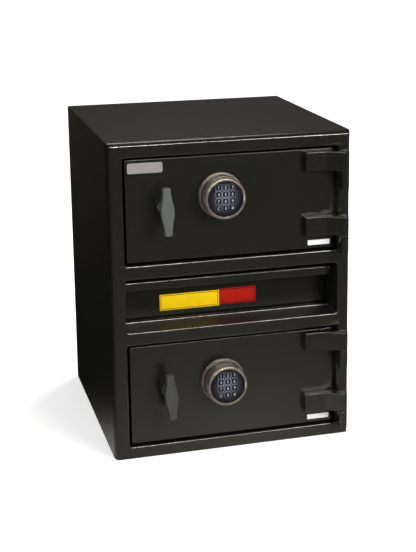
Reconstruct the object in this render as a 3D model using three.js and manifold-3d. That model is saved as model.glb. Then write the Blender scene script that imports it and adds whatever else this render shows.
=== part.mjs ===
// Drop safe with a deposit drawer between two compartments, each with its own door. Sizes are in millimetres.
// X runs to the right, Y from the front to the back and Z up. The origin is the centre of the underside.
import * as THREE from 'three';
import { mergeVertices } from 'three/addons/utils/BufferGeometryUtils.js';
import { RoundedBoxGeometry } from 'three/addons/geometries/RoundedBoxGeometry.js';
import Module from 'manifold-3d';

// Body, a 20 by 20 by 26 inch safe
const WIDTH = 508;
const DEPTH = 508;
const HEIGHT = 660.4;
const WALL = 6.35;
const CORNER = 7;
const GAP = 0.3;

// Openings of the front frame, from the body's left side and its underside
const OPENING_LEFT = 31;
const OPENING_RIGHT = 480;
const UPPER_OPENING = [410, 629.5];
const RECESS_OPENING = [271, 381];
const LOWER_OPENING = [25, 243];
const JAMB_DEPTH = 20.5;
const JAMB_WALL = 5;

// Doors
const DOOR_THICK = 12.7;
const DOOR_SINK = 6;
const DOOR_GAP_LEFT = 5.4;
const DOOR_GAP_RIGHT = 9.4;
const DOOR_GAP_Z = 5.2;
const DOOR_CORNER = 4;
const DOOR_EDGE = 1.6;
const HOOK_REACH = 6;

// Strap hinges: the axis stands in front of the frame, beside the door
const HINGE_X = 485;
const HINGE_Y = -25;
const BARREL_R = 11.5;
const PIN_R = 6;
const PIN_PLAY = 0.4;
const STRAP_LEFT = 406;
const STRAP_FRONT = -13;
const STRAP_BEND = 36.6;
const STRAP_HIGH = 39.5;
const STRAP_TOPS = [206.3, 70.7];
const KNUCKLE_HIGH = 37.5;
const KNUCKLE_GAP = 0.6;
const HEAD_R = 12.4;
const HEAD_THICK = 2.4;
const LEAF_WIDE = 21;

// T-handles, measured from the door's lower edge
const HANDLE_X = 111;
const HANDLE_UP = 110.3;
const HANDLE_LONG = 97;
const HANDLE_END = 15.3;
const HANDLE_MIDDLE = 27;
const HANDLE_FRONT = -46;
const HANDLE_THICK = 13;
const HANDLE_EDGE = 2;
const HANDLE_TILTS = { upper: 1.6, lower: 3 };
const BOSS_R = [11.5, 9.5];
const SPINDLE_R = 7;
const SPINDLE_END = 19.6;
const SQUARE = 8;
const SQUARE_END = 25.4;

// Boltwork behind each door
const CAM_Y = [20, 25];
const CRANK_R = Math.hypot(10, 10);
const CRANK_PIN_R = 4;
const BAR_Y = [26, 31];
const BOLT_R = 8;
const BOLT_Y = 29.5;
const BOLT_TIP = 40;
const BOLT_UPS = [38, 104, 170];
const BAR_X = [74, 94];
const BAR_UPS = [24, 184];
const BOLT_THROW = 20;
const SLOT_PLAY = 0.8;
const TAIL_END = 196;
const COVER_X = [47.5, 424];
const COVER_UPS = [13, 195];
const COVER_BACK = 53;
const COVER_WALL = 2;
const LOCK_WIDE = 62;
const LOCK_HIGH = 86;
const LOCK_Y = [19.2, 45];
const LOCK_BOLT_Y = [33.5, 42.5];
const LOCK_BOLT_HIGH = 12;
const LOCK_BOLT_LONG = 24;
const LOCK_THROW = 10;

// Keypads, a fixed base ring under a housing that turns
const KEYPAD_X = 230;
const KEYPAD_Z = { upper: 543, lower: 149.5 };
const RING_R = 46;
const RING_STEP_R = 43.8;
const RING_Y = [5.7, -1.5, -8];
const HOUSING_R = 42.5;
const HOUSING_Y = [-9.2, -38];
const HOUSING_ROUND = 4.5;
const FACE_R = 36.5;
const FACE_SINK = 1.2;
const SHAFT_R = 4;
const SHAFT_END = 22;
const KEY_SIZE = 10.6;
const KEY_PITCH = 14.3;
const KEY_ROWS_UP = 2.6;
const KEY_PROUD = 0.7;
const KEY_DEEP = 3;
const KEY_TRAVEL = 0.8;
const KEY_PLAY = 0.35;
const KEY_NAMES = ['1', '2', '3', '4', '5', '6', '7', '8', '9', 'clear', '0', 'enter'];

// Deposit drawer, which tips forward about a rod at its lower edge
const PIVOT_Y = 84;
const PIVOT_Z = 284;
const ROD_R = 4;
const PANEL_Y = 72;
const PANEL_SHEET = 3;
const PANEL_Z = [274, 364];
const LIP_Y = 35;
const LIP_Z = 347;
const SHEET_BEND = 4;
const PANEL_X = [33, 477];
const TRAY_SHEET = 2.5;
const TRAY_SLOPE = 30;
const TRAY_REACH = 117;
const TRAY_FLANGE_Z = 342;
const TRAY_HEEL = 7;
const LINER_SHEET = 3;
const LINER_SILL_END = 67;
const LINER_SIDE_END = 97;
const GUARD_R = 127.5;
const GUARD_ARC = [38, 0];
const GUARD_FLANGE = 45;

// Floor anchors
const ANCHOR_R = 7;
const ANCHOR_X = 170;
const ANCHOR_Y = 150;

const wasm = await Module();
wasm.setup();

const safe = new THREE.Group();

const coat = (color, roughness, metalness) => new THREE.MeshStandardMaterial({ color, roughness, metalness });
const powderCoat = coat(0x2b2b26, 0.35, 0.2);
const darkSteel = coat(0x4a4a48, 0.5, 0.8);
const handleGrey = coat(0x6d6c69, 0.45, 0.3);
const nickel = coat(0x8a8175, 0.35, 0.9);
const keyRubber = coat(0x15161c, 0.55, 0);
const zinc = coat(0x9a9c9e, 0.4, 0.8);

const radians = THREE.MathUtils.degToRad;

// Measured places count from the body's left side and its front; these turn them into the part's own frame.
const fromLeft = (x) => x - WIDTH / 2;
const fromFront = (y) => y - DEPTH / 2;

// Solids: three.js geometry that can be joined and cut

function solidOf(geometry) {
  const bare = geometry.clone();
  bare.deleteAttribute('normal');
  bare.deleteAttribute('uv');
  const merged = mergeVertices(bare, 1e-4);
  return new wasm.Manifold(new wasm.Mesh({
    numProp: 3,
    vertProperties: merged.attributes.position.array,
    triVerts: new Uint32Array(merged.index.array),
  }));
}

const joined = (...solids) => solids.reduce((all, one) => all.add(one));
const cut = (solid, ...tools) => tools.reduce((left, tool) => left.subtract(tool), solid);

function addPiece(name, solid, material, tilt) {
  const { vertProperties, triVerts } = solid.getMesh();
  const geometry = new THREE.BufferGeometry();
  geometry.setAttribute('position', new THREE.BufferAttribute(vertProperties, 3));
  geometry.setIndex(new THREE.BufferAttribute(triVerts, 1));
  geometry.computeVertexNormals();
  const mesh = new THREE.Mesh(geometry, material);
  mesh.name = name;
  if (tilt) {
    const axis = new THREE.Group();
    axis.position.set(tilt.x, 0, tilt.z);
    axis.rotation.y = radians(tilt.degrees);
    mesh.position.set(-tilt.x, 0, -tilt.z);
    axis.add(mesh);
    safe.add(axis);
  } else {
    safe.add(mesh);
  }
}

function block([x0, x1], [y0, y1], [z0, z1]) {
  const box = new THREE.BoxGeometry(x1 - x0, y1 - y0, z1 - z0);
  return solidOf(box.translate((x0 + x1) / 2, (y0 + y1) / 2, (z0 + z1) / 2));
}

// Round rods along each axis; a bore is the same rod taken away
function rodX(radius, [x0, x1], y, z, sides = 24) {
  const rod = new THREE.CylinderGeometry(radius, radius, x1 - x0, sides).rotateZ(Math.PI / 2);
  return solidOf(rod.translate((x0 + x1) / 2, y, z));
}

function rodY(radius, x, [y0, y1], z, sides = 24, frontRadius = radius) {
  const rod = new THREE.CylinderGeometry(radius, frontRadius, y1 - y0, sides);
  return solidOf(rod.translate(x, (y0 + y1) / 2, z));
}

function rodZ(radius, x, y, [z0, z1], sides = 24) {
  const rod = new THREE.CylinderGeometry(radius, radius, z1 - z0, sides).rotateX(Math.PI / 2);
  return solidOf(rod.translate(x, y, (z0 + z1) / 2));
}

// Prisms of an outline drawn in the plane that each axis pierces
function prismX(outline, [x0, x1], steps = 4) {
  const prism = new THREE.ExtrudeGeometry(outline, { depth: x1 - x0, bevelEnabled: false, curveSegments: steps });
  const axes = new THREE.Matrix4().makeBasis(
    new THREE.Vector3(0, 1, 0), new THREE.Vector3(0, 0, 1), new THREE.Vector3(1, 0, 0));
  return solidOf(prism.applyMatrix4(axes).translate(x0, 0, 0));
}

function prismY(outline, [y0, y1], { steps = 4, edge = 0, edgeSteps = 2 } = {}) {
  const prism = new THREE.ExtrudeGeometry(outline, {
    depth: y1 - y0 - 2 * edge,
    bevelEnabled: edge > 0,
    bevelThickness: edge,
    bevelSize: edge,
    bevelOffset: -edge,
    bevelSegments: edgeSteps,
    curveSegments: steps,
  });
  const axes = new THREE.Matrix4().makeBasis(
    new THREE.Vector3(1, 0, 0), new THREE.Vector3(0, 0, 1), new THREE.Vector3(0, -1, 0));
  return solidOf(prism.applyMatrix4(axes).translate(0, y1 - edge, 0));
}

function prismZ(outline, [z0, z1], steps = 12) {
  const prism = new THREE.ExtrudeGeometry(outline, { depth: z1 - z0, bevelEnabled: false, curveSegments: steps });
  return solidOf(prism.translate(0, 0, z0));
}

// A turned piece: its profile gives radius against Y, from back to front
function turned(profile, x, z, sides = 48) {
  const points = profile.map(([radius, y]) => new THREE.Vector2(radius, y));
  return solidOf(new THREE.LatheGeometry(points.reverse(), sides).translate(x, 0, z));
}

function roundedRectangle([x0, x1], [z0, z1], radius) {
  const outline = new THREE.Shape();
  outline.moveTo(x0 + radius, z0);
  outline.lineTo(x1 - radius, z0);
  outline.absarc(x1 - radius, z0 + radius, radius, -Math.PI / 2, 0);
  outline.lineTo(x1, z1 - radius);
  outline.absarc(x1 - radius, z1 - radius, radius, 0, Math.PI / 2);
  outline.lineTo(x0 + radius, z1);
  outline.absarc(x0 + radius, z1 - radius, radius, Math.PI / 2, Math.PI);
  outline.lineTo(x0, z0 + radius);
  outline.absarc(x0 + radius, z0 + radius, radius, Math.PI, 1.5 * Math.PI);
  return outline;
}

// The outline of a bent sheet: its middle line is a chain of points with each corner rounded, and half the
// sheet lies on each side of it.
function bentSheet(corners, sheet, bend = SHEET_BEND, steps = 3) {
  const points = corners.map(([a, b]) => new THREE.Vector2(a, b));
  const middle = [];
  points.forEach((corner, i) => {
    if (i === 0 || i === points.length - 1) {
      const [from, to] = i === 0 ? [corner, points[1]] : [points[i - 1], corner];
      middle.push({ at: corner, along: to.clone().sub(from).normalize() });
      return;
    }
    const into = corner.clone().sub(points[i - 1]).normalize();
    const out = points[i + 1].clone().sub(corner).normalize();
    const turn = Math.atan2(into.cross(out), into.dot(out));
    const inset = bend * Math.tan(Math.abs(turn) / 2);
    const side = new THREE.Vector2(-into.y, into.x).multiplyScalar(Math.sign(turn));
    const start = corner.clone().addScaledVector(into, -inset);
    const centre = start.clone().addScaledVector(side, bend);
    for (let k = 0; k <= steps; k += 1) {
      const angle = (turn * k) / steps;
      middle.push({
        at: start.clone().rotateAround(centre, angle),
        along: into.clone().rotateAround(new THREE.Vector2(), angle),
      });
    }
  });
  const offset = (sign) => middle.map(({ at, along }) =>
    new THREE.Vector2(at.x - (sign * along.y * sheet) / 2, at.y + (sign * along.x * sheet) / 2));
  return new THREE.Shape([...offset(-1), ...offset(1).reverse()]);
}

// Body: a bent wrap, closed by the frame in front, a back plate and a floor plate

const INSIDE_X = [fromLeft(WALL + GAP), fromLeft(WIDTH - WALL - GAP)];

function addBody() {
  const half = WIDTH / 2;
  const wrap = new THREE.Shape();
  wrap.moveTo(-half, 0);
  wrap.lineTo(-half + WALL, 0);
  wrap.lineTo(-half + WALL, HEIGHT - WALL);
  wrap.lineTo(half - WALL, HEIGHT - WALL);
  wrap.lineTo(half - WALL, 0);
  wrap.lineTo(half, 0);
  wrap.lineTo(half, HEIGHT - CORNER);
  wrap.absarc(half - CORNER, HEIGHT - CORNER, CORNER, 0, Math.PI / 2);
  wrap.lineTo(-half + CORNER, HEIGHT);
  wrap.absarc(-half + CORNER, HEIGHT - CORNER, CORNER, Math.PI / 2, Math.PI);
  const wrapY = [fromFront(WALL + GAP), fromFront(DEPTH)];
  addPiece('body_wrap', prismY(wrap, wrapY, { steps: 4 }), powderCoat);

  const plateY = [fromFront(DEPTH - WALL), fromFront(DEPTH)];
  const plateZ = [WALL + GAP, HEIGHT - WALL - GAP];
  addPiece('back_plate', block(INSIDE_X, plateY, plateZ), powderCoat);

  const anchors = [-1, 1].flatMap((sx) => [-1, 1].map((sy) =>
    rodZ(ANCHOR_R, sx * ANCHOR_X, sy * ANCHOR_Y, [-1, WALL + 1], 16)));
  addPiece('floor_plate', cut(block(INSIDE_X, wrapY, [0, WALL]), ...anchors), powderCoat);
}

// Front frame: a plate with rounded outer edges and a welded jamb behind each door opening

function jamb([z0, z1]) {
  const y = [fromFront(WALL - 1), fromFront(JAMB_DEPTH)];
  const outer = block(
    [fromLeft(OPENING_LEFT - JAMB_WALL), fromLeft(OPENING_RIGHT + JAMB_WALL)], y,
    [z0 - JAMB_WALL, z1 + JAMB_WALL]);
  return outer;
}

function addFrontFrame() {
  const blank = new RoundedBoxGeometry(WIDTH, 60, HEIGHT + 60, 4, CORNER);
  blank.translate(0, fromFront(30), (HEIGHT - 60) / 2);
  const slab = block([-WIDTH, WIDTH], [fromFront(-1), fromFront(WALL)], [0, HEIGHT + 1]);
  const face = solidOf(blank).intersect(slab);
  const hole = ([z0, z1]) => block(
    [fromLeft(OPENING_LEFT), fromLeft(OPENING_RIGHT)], [fromFront(-5), fromFront(JAMB_DEPTH + 5)], [z0, z1]);
  const frame = cut(
    joined(face, jamb(UPPER_OPENING), jamb(LOWER_OPENING)),
    hole(UPPER_OPENING), hole(RECESS_OPENING), hole(LOWER_OPENING));
  addPiece('front_frame', frame, powderCoat);
}

// Shelf under the upper compartment

function addUpperShelf() {
  const y = [fromFront(JAMB_DEPTH + GAP), fromFront(DEPTH - WALL - GAP)];
  const top = UPPER_OPENING[0] - GAP;
  addPiece('upper_shelf', block(INSIDE_X, y, [top - WALL, top]), powderCoat);
}

// Recess in front of the drawer: a sill, two cheeks that carry the rod, and a top, bent from sheet

function addRecessLiner() {
  const [z0, z1] = RECESS_OPENING;
  const [x0, x1] = [fromLeft(OPENING_LEFT), fromLeft(OPENING_RIGHT)];
  const y = [fromFront(WALL + GAP), fromFront(LINER_SIDE_END)];
  const sheet = LINER_SHEET;
  const tube = block([x0 - sheet, x1 + sheet], y, [z0 - sheet, z1 + sheet]);
  const hollow = block([x0, x1], [y[0] - 5, y[1] + 5], [z0, z1]);
  const sillEnd = block(
    [x0, x1], [fromFront(LINER_SILL_END), y[1] + 5], [z0 - sheet - 5, z0 + 1]);
  const bore = rodX(ROD_R + GAP, [x0 - 20, x1 + 20], fromFront(PIVOT_Y), PIVOT_Z, 16);
  addPiece('recess_liner', cut(tube, hollow, sillEnd, bore), powderCoat);

  const rodX0 = x0 - sheet - 6;
  const rodX1 = x1 + sheet + 6;
  addPiece('drawer_rod', rodX(ROD_R, [rodX0, rodX1], fromFront(PIVOT_Y), PIVOT_Z, 16), zinc);
}

// Deposit drawer: a front panel folded forward into a pull lip, and a tray that tips up behind it

function addDrawer() {
  const mid = PANEL_SHEET / 2;
  const panelMid = fromFront(PANEL_Y + mid);
  const lipMid = fromFront(LIP_Y + mid);
  const front = bentSheet([
    [panelMid, PANEL_Z[0]],
    [panelMid, PANEL_Z[1] - mid],
    [lipMid, PANEL_Z[1] - mid],
    [lipMid, LIP_Z],
  ], PANEL_SHEET);
  const x = PANEL_X.map(fromLeft);
  addPiece('drawer_front', prismX(front, x), powderCoat);

  const flangeY = fromFront(PANEL_Y + PANEL_SHEET + GAP + TRAY_SHEET / 2);
  const slope = radians(TRAY_SLOPE);
  const heelZ = PIVOT_Z - TRAY_HEEL;
  const end = [
    fromFront(PIVOT_Y) + TRAY_REACH * Math.cos(slope),
    heelZ - (TRAY_REACH + fromFront(PIVOT_Y) - flangeY) * Math.sin(slope),
  ];
  const tray = bentSheet([[flangeY, TRAY_FLANGE_Z], [flangeY, heelZ], end], TRAY_SHEET);
  const sector = new THREE.Shape([
    new THREE.Vector2(flangeY, TRAY_FLANGE_Z),
    new THREE.Vector2(flangeY, heelZ + 3),
    new THREE.Vector2(flangeY + 3, heelZ),
    new THREE.Vector2(...end),
    new THREE.Vector2(end[0] + 2, end[1] + 14),
    new THREE.Vector2(flangeY + 24, TRAY_FLANGE_Z),
  ]);
  const ends = [x[0], x[1] - TRAY_SHEET].map((start) => prismX(sector, [start, start + TRAY_SHEET]));
  const bore = rodX(ROD_R + PIN_PLAY, [x[0] - 5, x[1] + 5], fromFront(PIVOT_Y), PIVOT_Z, 16);
  addPiece('drawer_tray', cut(joined(prismX(tray, x), ...ends), bore), darkSteel);
}

// Guard behind the drawer: it follows the arc that the tray's edge sweeps, so nothing passes over the tray

function addGuard() {
  const [centreY, centreZ] = [fromFront(PIVOT_Y), PIVOT_Z];
  const [from, to] = GUARD_ARC.map(radians);
  const onArc = (angle) => [centreY + GUARD_R * Math.cos(angle), centreZ + GUARD_R * Math.sin(angle)];
  const steps = 6;
  const arc = Array.from({ length: steps + 1 }, (_, k) => onArc(from + ((to - from) * k) / steps));
  const top = UPPER_OPENING[0] - GAP - WALL - GAP - LINER_SHEET / 2;
  const profile = [[arc[0][0] - GUARD_FLANGE, top], [arc[0][0] - 12, top], ...arc];
  addPiece('drop_guard', prismX(bentSheet(profile, LINER_SHEET, SHEET_BEND, 2), INSIDE_X), powderCoat);
}

// Doors: a plate with rounded edges, and behind its hinge side a bar that hooks behind the jamb

const doorX = [fromLeft(OPENING_LEFT + DOOR_GAP_LEFT), fromLeft(OPENING_RIGHT - DOOR_GAP_RIGHT)];
const doorY = [fromFront(DOOR_SINK), fromFront(DOOR_SINK + DOOR_THICK)];

function addDoorPlate(side, low, high) {
  const plate = prismY(roundedRectangle(doorX, [low, high], DOOR_CORNER), doorY, { steps: 3, edge: DOOR_EDGE });
  const hookZ = [low + 22, high - 22];
  const behindJamb = fromFront(JAMB_DEPTH + 1);
  const hookBack = behindJamb + WALL;
  const root = block([doorX[1] - 12, doorX[1] - 1], [doorY[1] - 1, hookBack], hookZ);
  const hook = block(
    [doorX[1] - 12, fromLeft(OPENING_RIGHT + HOOK_REACH)], [behindJamb, hookBack], hookZ);
  const through = [doorY[0] - 5, doorY[1] + 5];
  const handleHole = rodY(SPINDLE_R + PIN_PLAY, fromLeft(HANDLE_X), through, low + HANDLE_UP);
  const shaftHole = rodY(SHAFT_R + 1, fromLeft(KEYPAD_X), through, KEYPAD_Z[side], 16);
  addPiece(`${side}_door_plate`, cut(joined(plate, root, hook), handleHole, shaftHole), powderCoat);
}

// Strap hinges: a thick bar, flat on the door, bent out and rolled round the pin

function strapOutline() {
  const lean = radians(STRAP_BEND);
  const centre = new THREE.Vector2(fromLeft(HINGE_X), fromFront(HINGE_Y));
  const outward = new THREE.Vector2(-Math.sin(lean), -Math.cos(lean));
  const along = new THREE.Vector2(Math.cos(lean), -Math.sin(lean));
  const frontTangent = centre.clone().addScaledVector(outward, BARREL_R);
  const backTangent = centre.clone().addScaledVector(outward, -BARREL_R);
  const front = fromFront(STRAP_FRONT);
  const back = fromFront(DOOR_SINK - GAP);
  const meets = (tangent, y) => tangent.clone().addScaledVector(along, (tangent.y - y) / Math.sin(lean));
  const bend = meets(frontTangent, front);
  const leaves = meets(backTangent, back);
  const outline = new THREE.Shape();
  outline.moveTo(fromLeft(STRAP_LEFT), back);
  outline.lineTo(fromLeft(STRAP_LEFT), front);
  outline.lineTo(bend.x, bend.y);
  outline.lineTo(frontTangent.x, frontTangent.y);
  outline.absarc(centre.x, centre.y, BARREL_R, outward.angle(), outward.angle() + Math.PI);
  outline.lineTo(leaves.x, leaves.y);
  return outline;
}

function addHinge(name, top) {
  const [x, y] = [fromLeft(HINGE_X), fromFront(HINGE_Y)];
  const bottom = top - STRAP_HIGH;
  const bore = rodZ(PIN_R + PIN_PLAY, x, y, [bottom - 5, top + 5]);
  addPiece(`${name}_strap`, cut(prismZ(strapOutline(), [bottom, top]), bore), powderCoat);

  const knuckleZ = [bottom - KNUCKLE_GAP - KNUCKLE_HIGH, bottom - KNUCKLE_GAP];
  const faceY = fromFront(-GAP);
  const leaf = new THREE.Shape();
  leaf.moveTo(x - LEAF_WIDE / 2, faceY);
  leaf.lineTo(x - BARREL_R * 0.6, y);
  leaf.lineTo(x + BARREL_R * 0.6, y);
  leaf.lineTo(x + LEAF_WIDE / 2, faceY);
  const headZ = [top + KNUCKLE_GAP, top + KNUCKLE_GAP + HEAD_THICK];
  const knuckle = joined(
    rodZ(BARREL_R, x, y, knuckleZ, 32),
    prismZ(leaf, knuckleZ),
    rodZ(PIN_R, x, y, [knuckleZ[0] + 5, headZ[0] + 1]),
    rodZ(HEAD_R, x, y, headZ, 32));
  addPiece(`${name}_knuckle`, knuckle, powderCoat);
}

// T-handle: a flat grip that swells at its middle, on a tapered boss with a spindle through the door

function gripOutline(x, z) {
  const half = HANDLE_LONG / 2;
  const end = HANDLE_END / 2;
  const middle = HANDLE_MIDDLE / 2;
  const crown = 2;
  const outline = new THREE.Shape();
  outline.moveTo(x + middle, z);
  outline.bezierCurveTo(x + middle, z + half * 0.28, x + end, z + half * 0.52, x + end, z + half - crown);
  outline.quadraticCurveTo(x, z + half + crown, x - end, z + half - crown);
  outline.bezierCurveTo(x - end, z + half * 0.52, x - middle, z + half * 0.28, x - middle, z);
  outline.bezierCurveTo(x - middle, z - half * 0.28, x - end, z - half * 0.52, x - end, z - half + crown);
  outline.quadraticCurveTo(x, z - half - crown, x + end, z - half + crown);
  outline.bezierCurveTo(x + end, z - half * 0.52, x + middle, z - half * 0.28, x + middle, z);
  return outline;
}

function addHandle(side, low) {
  const [x, z] = [fromLeft(HANDLE_X), low + HANDLE_UP];
  const gripY = [fromFront(HANDLE_FRONT), fromFront(HANDLE_FRONT + HANDLE_THICK)];
  const grip = prismY(gripOutline(x, z), gripY, { steps: 8, edge: HANDLE_EDGE });
  const bossY = [gripY[1] - 1, fromFront(DOOR_SINK - GAP)];
  const boss = rodY(BOSS_R[0], x, bossY, z, 32, BOSS_R[1]);
  const spindle = rodY(SPINDLE_R, x, [bossY[1] - 1, fromFront(SPINDLE_END)], z);
  const squareY = [fromFront(SPINDLE_END - 1), fromFront(SQUARE_END)];
  const square = block([x - SQUARE / 2, x + SQUARE / 2], squareY, [z - SQUARE / 2, z + SQUARE / 2]);
  const tilt = { x, z, degrees: -HANDLE_TILTS[side] };
  addPiece(`${side}_handle`, joined(grip, boss, spindle, square), handleGrey, tilt);

  // The cam stays upright: the handle leans by the play of its square in the cam's hole
  const camY = CAM_Y.map(fromFront);
  const [pinX, pinZ] = [x + CRANK_R * Math.SQRT1_2, z + CRANK_R * Math.SQRT1_2];
  const lobe = new THREE.Shape();
  lobe.moveTo(x + 13, z - 5);
  lobe.lineTo(pinX + 6.6, pinZ - 3);
  lobe.lineTo(pinX - 3, pinZ + 6.6);
  lobe.lineTo(x - 5, z + 13);
  const hole = block(
    [x - SQUARE / 2 - GAP, x + SQUARE / 2 + GAP], [camY[0] - 5, camY[1] + 5],
    [z - SQUARE / 2 - GAP, z + SQUARE / 2 + GAP]);
  const plate = cut(
    joined(rodY(14, x, camY, z), rodY(7.2, pinX, camY, pinZ), prismY(lobe, camY)), hole);
  const pin = rodY(CRANK_PIN_R, pinX, [camY[1] - 1, fromFront(BAR_Y[1] + 2)], pinZ, 16);
  addPiece(`${side}_handle_cam`, joined(plate, pin), zinc);
}

// Bolt bar: three round bolts welded to a bar that the cam's pin drives through an upright slot

function addBoltBar(side, low) {
  const z = low + HANDLE_UP;
  const barY = BAR_Y.map(fromFront);
  const pinX = fromLeft(HANDLE_X) + CRANK_R * Math.SQRT1_2;
  const barX = BAR_X.map(fromLeft);
  const upright = block(barX, barY, BAR_UPS.map((up) => low + up));
  const arm = block([barX[0] + 2, pinX + 17], barY, [z - 3, z + 27]);
  const tail = block([pinX, fromLeft(TAIL_END)], barY, [z + 8, z + 27]);
  const slotHalf = CRANK_PIN_R + SLOT_PLAY;
  const slot = block(
    [pinX - slotHalf, pinX + slotHalf], [barY[0] - 5, barY[1] + 5],
    [z + CRANK_R * Math.SQRT1_2 - CRANK_PIN_R - 1, z + CRANK_R + CRANK_PIN_R + 1]);
  const bolts = BOLT_UPS.map((up) =>
    rodX(BOLT_R, [fromLeft(BOLT_TIP), barX[1] - 2], fromFront(BOLT_Y), low + up));
  addPiece(`${side}_bolt_bar`, cut(joined(upright, arm, tail, ...bolts), slot), zinc);
}

// Pressed cover over the boltwork, with a round guide for each bolt

function addCover(side, low) {
  const x = COVER_X.map(fromLeft);
  const y = [doorY[1] + GAP, fromFront(COVER_BACK)];
  const z = COVER_UPS.map((up) => low + up);
  const wall = COVER_WALL;
  const back = prismY(roundedRectangle(x, z, 5), y, { steps: 3 });
  const hollow = block(
    [x[0] + wall, x[1] - wall], [y[0] - 5, y[1] - wall], [z[0] + wall, z[1] - wall]);
  const guides = BOLT_UPS.map((up) =>
    rodX(BOLT_R + GAP * 2, [x[0] - 5, x[0] + 8], fromFront(BOLT_Y), low + up));
  addPiece(`${side}_boltwork_cover`, cut(back, hollow, ...guides), powderCoat);
}

// Lock: a cast case with a sliding bolt that the keypad's shaft draws

function addLock(side) {
  const [x, z] = [fromLeft(KEYPAD_X), KEYPAD_Z[side]];
  const caseX = [x - LOCK_WIDE / 2, x + LOCK_WIDE / 2];
  const caseY = LOCK_Y.map(fromFront);
  const shell = prismY(
    roundedRectangle(caseX, [z - LOCK_HIGH / 2, z + LOCK_HIGH / 2], 6), caseY, { steps: 3, edge: 1.5 });
  const shaftBore = rodY(SHAFT_R + 1, x, [caseY[0] - 5, fromFront(SHAFT_END + 1)], z, 16);
  const boltY = LOCK_BOLT_Y.map(fromFront);
  const boltZ = [z + 12, z + 12 + LOCK_BOLT_HIGH];
  const channel = block(
    [caseX[0] - 5, caseX[0] + LOCK_BOLT_LONG], [boltY[0] - 0.4, boltY[1] + 0.4],
    [boltZ[0] - 0.4, boltZ[1] + 0.4]);
  addPiece(`${side}_lock_case`, cut(shell, shaftBore, channel), zinc);

  const tip = caseX[0] - 2;
  const [front, back] = boltY;
  const bolt = new THREE.Shape([
    new THREE.Vector2(tip, front),
    new THREE.Vector2(tip + LOCK_BOLT_LONG, front),
    new THREE.Vector2(tip + LOCK_BOLT_LONG, back),
    new THREE.Vector2(tip + 3, back),
    new THREE.Vector2(tip, back - 3),
  ]);
  addPiece(`${side}_lock_bolt`, prismZ(bolt, boltZ), zinc);
}

// Keypad: a stepped base ring, and a housing that turns on it with a sunk face and a pocket for each key

function addKeypad(side) {
  const [x, z] = [fromLeft(KEYPAD_X), KEYPAD_Z[side]];
  const [back, step, front] = RING_Y.map(fromFront);
  const edge = 1.5;
  const bore = SHAFT_R + 2;
  const ring = turned([
    [bore, back], [RING_R, back], [RING_R, step + edge], [RING_R - edge, step],
    [RING_STEP_R, step], [RING_STEP_R, front + edge], [RING_STEP_R - edge, front],
    [bore, front], [bore, back],
  ], x, z);
  addPiece(`${side}_keypad_base`, ring, nickel);

  const [rear, rim] = HOUSING_Y.map(fromFront);
  const face = rim + FACE_SINK;
  const rounds = 4;
  const shoulder = Array.from({ length: rounds + 1 }, (_, k) => {
    const angle = (k / rounds) * (Math.PI / 2);
    return [
      HOUSING_R - HOUSING_ROUND * (1 - Math.cos(angle)),
      rim + HOUSING_ROUND * (1 - Math.sin(angle)),
    ];
  });
  const housing = turned([
    [0, fromFront(SHAFT_END)], [SHAFT_R, fromFront(SHAFT_END)], [SHAFT_R, rear], [HOUSING_R - 1, rear],
    [HOUSING_R, rear - 1], ...shoulder, [FACE_R, rim], [FACE_R, face], [0, face],
  ], x, z);
  const pockets = [];
  KEY_NAMES.forEach((name, i) => {
    const keyX = x + ((i % 3) - 1) * KEY_PITCH;
    const keyZ = z + KEY_ROWS_UP + (1.5 - Math.floor(i / 3)) * KEY_PITCH;
    const half = KEY_SIZE / 2;
    const room = half + KEY_PLAY;
    const keyY = [face - KEY_PROUD, face - KEY_PROUD + KEY_DEEP];
    const key = roundedRectangle([keyX - half, keyX + half], [keyZ - half, keyZ + half], 1.6);
    pockets.push(block(
      [keyX - room, keyX + room], [face - 5, keyY[1] + KEY_TRAVEL + KEY_PLAY], [keyZ - room, keyZ + room]));
    addPiece(`${side}_key_${name}`, prismY(key, keyY, { steps: 1 }), keyRubber);
  });
  addPiece(`${side}_keypad_housing`, cut(housing, ...pockets), nickel);
}

addBody();
addFrontFrame();
addUpperShelf();
addRecessLiner();
addDrawer();
addGuard();
Object.entries({ upper: UPPER_OPENING, lower: LOWER_OPENING }).forEach(([side, [z0, z1]]) => {
  const low = z0 + DOOR_GAP_Z;
  const high = z1 - DOOR_GAP_Z;
  addDoorPlate(side, low, high);
  STRAP_TOPS.forEach((up, i) => addHinge(`${side}_hinge_${i + 1}`, low + up));
  addHandle(side, low);
  addBoltBar(side, low);
  addCover(side, low);
  addLock(side);
  addKeypad(side);
});

export default safe;
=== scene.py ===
import math

import bmesh
import bpy
import numpy as np
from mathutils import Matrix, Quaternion, Vector
from mathutils.geometry import tessellate_polygon


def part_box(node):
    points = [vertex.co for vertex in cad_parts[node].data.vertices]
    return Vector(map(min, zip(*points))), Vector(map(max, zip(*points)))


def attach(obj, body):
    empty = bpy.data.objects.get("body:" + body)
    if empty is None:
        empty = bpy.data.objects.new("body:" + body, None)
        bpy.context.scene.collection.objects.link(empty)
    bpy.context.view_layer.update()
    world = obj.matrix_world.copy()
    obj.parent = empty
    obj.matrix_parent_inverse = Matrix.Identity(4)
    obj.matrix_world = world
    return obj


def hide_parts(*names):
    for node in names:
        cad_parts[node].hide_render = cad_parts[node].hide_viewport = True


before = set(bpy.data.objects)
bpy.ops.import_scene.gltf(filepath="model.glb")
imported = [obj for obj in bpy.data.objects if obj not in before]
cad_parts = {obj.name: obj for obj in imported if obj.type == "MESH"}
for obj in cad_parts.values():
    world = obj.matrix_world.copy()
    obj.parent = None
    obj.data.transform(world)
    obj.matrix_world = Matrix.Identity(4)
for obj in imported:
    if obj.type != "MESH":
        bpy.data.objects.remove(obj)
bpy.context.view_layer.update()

# A drop safe with a deposit drawer between two compartments, in metres, +Z up and its front towards -Y.

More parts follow.
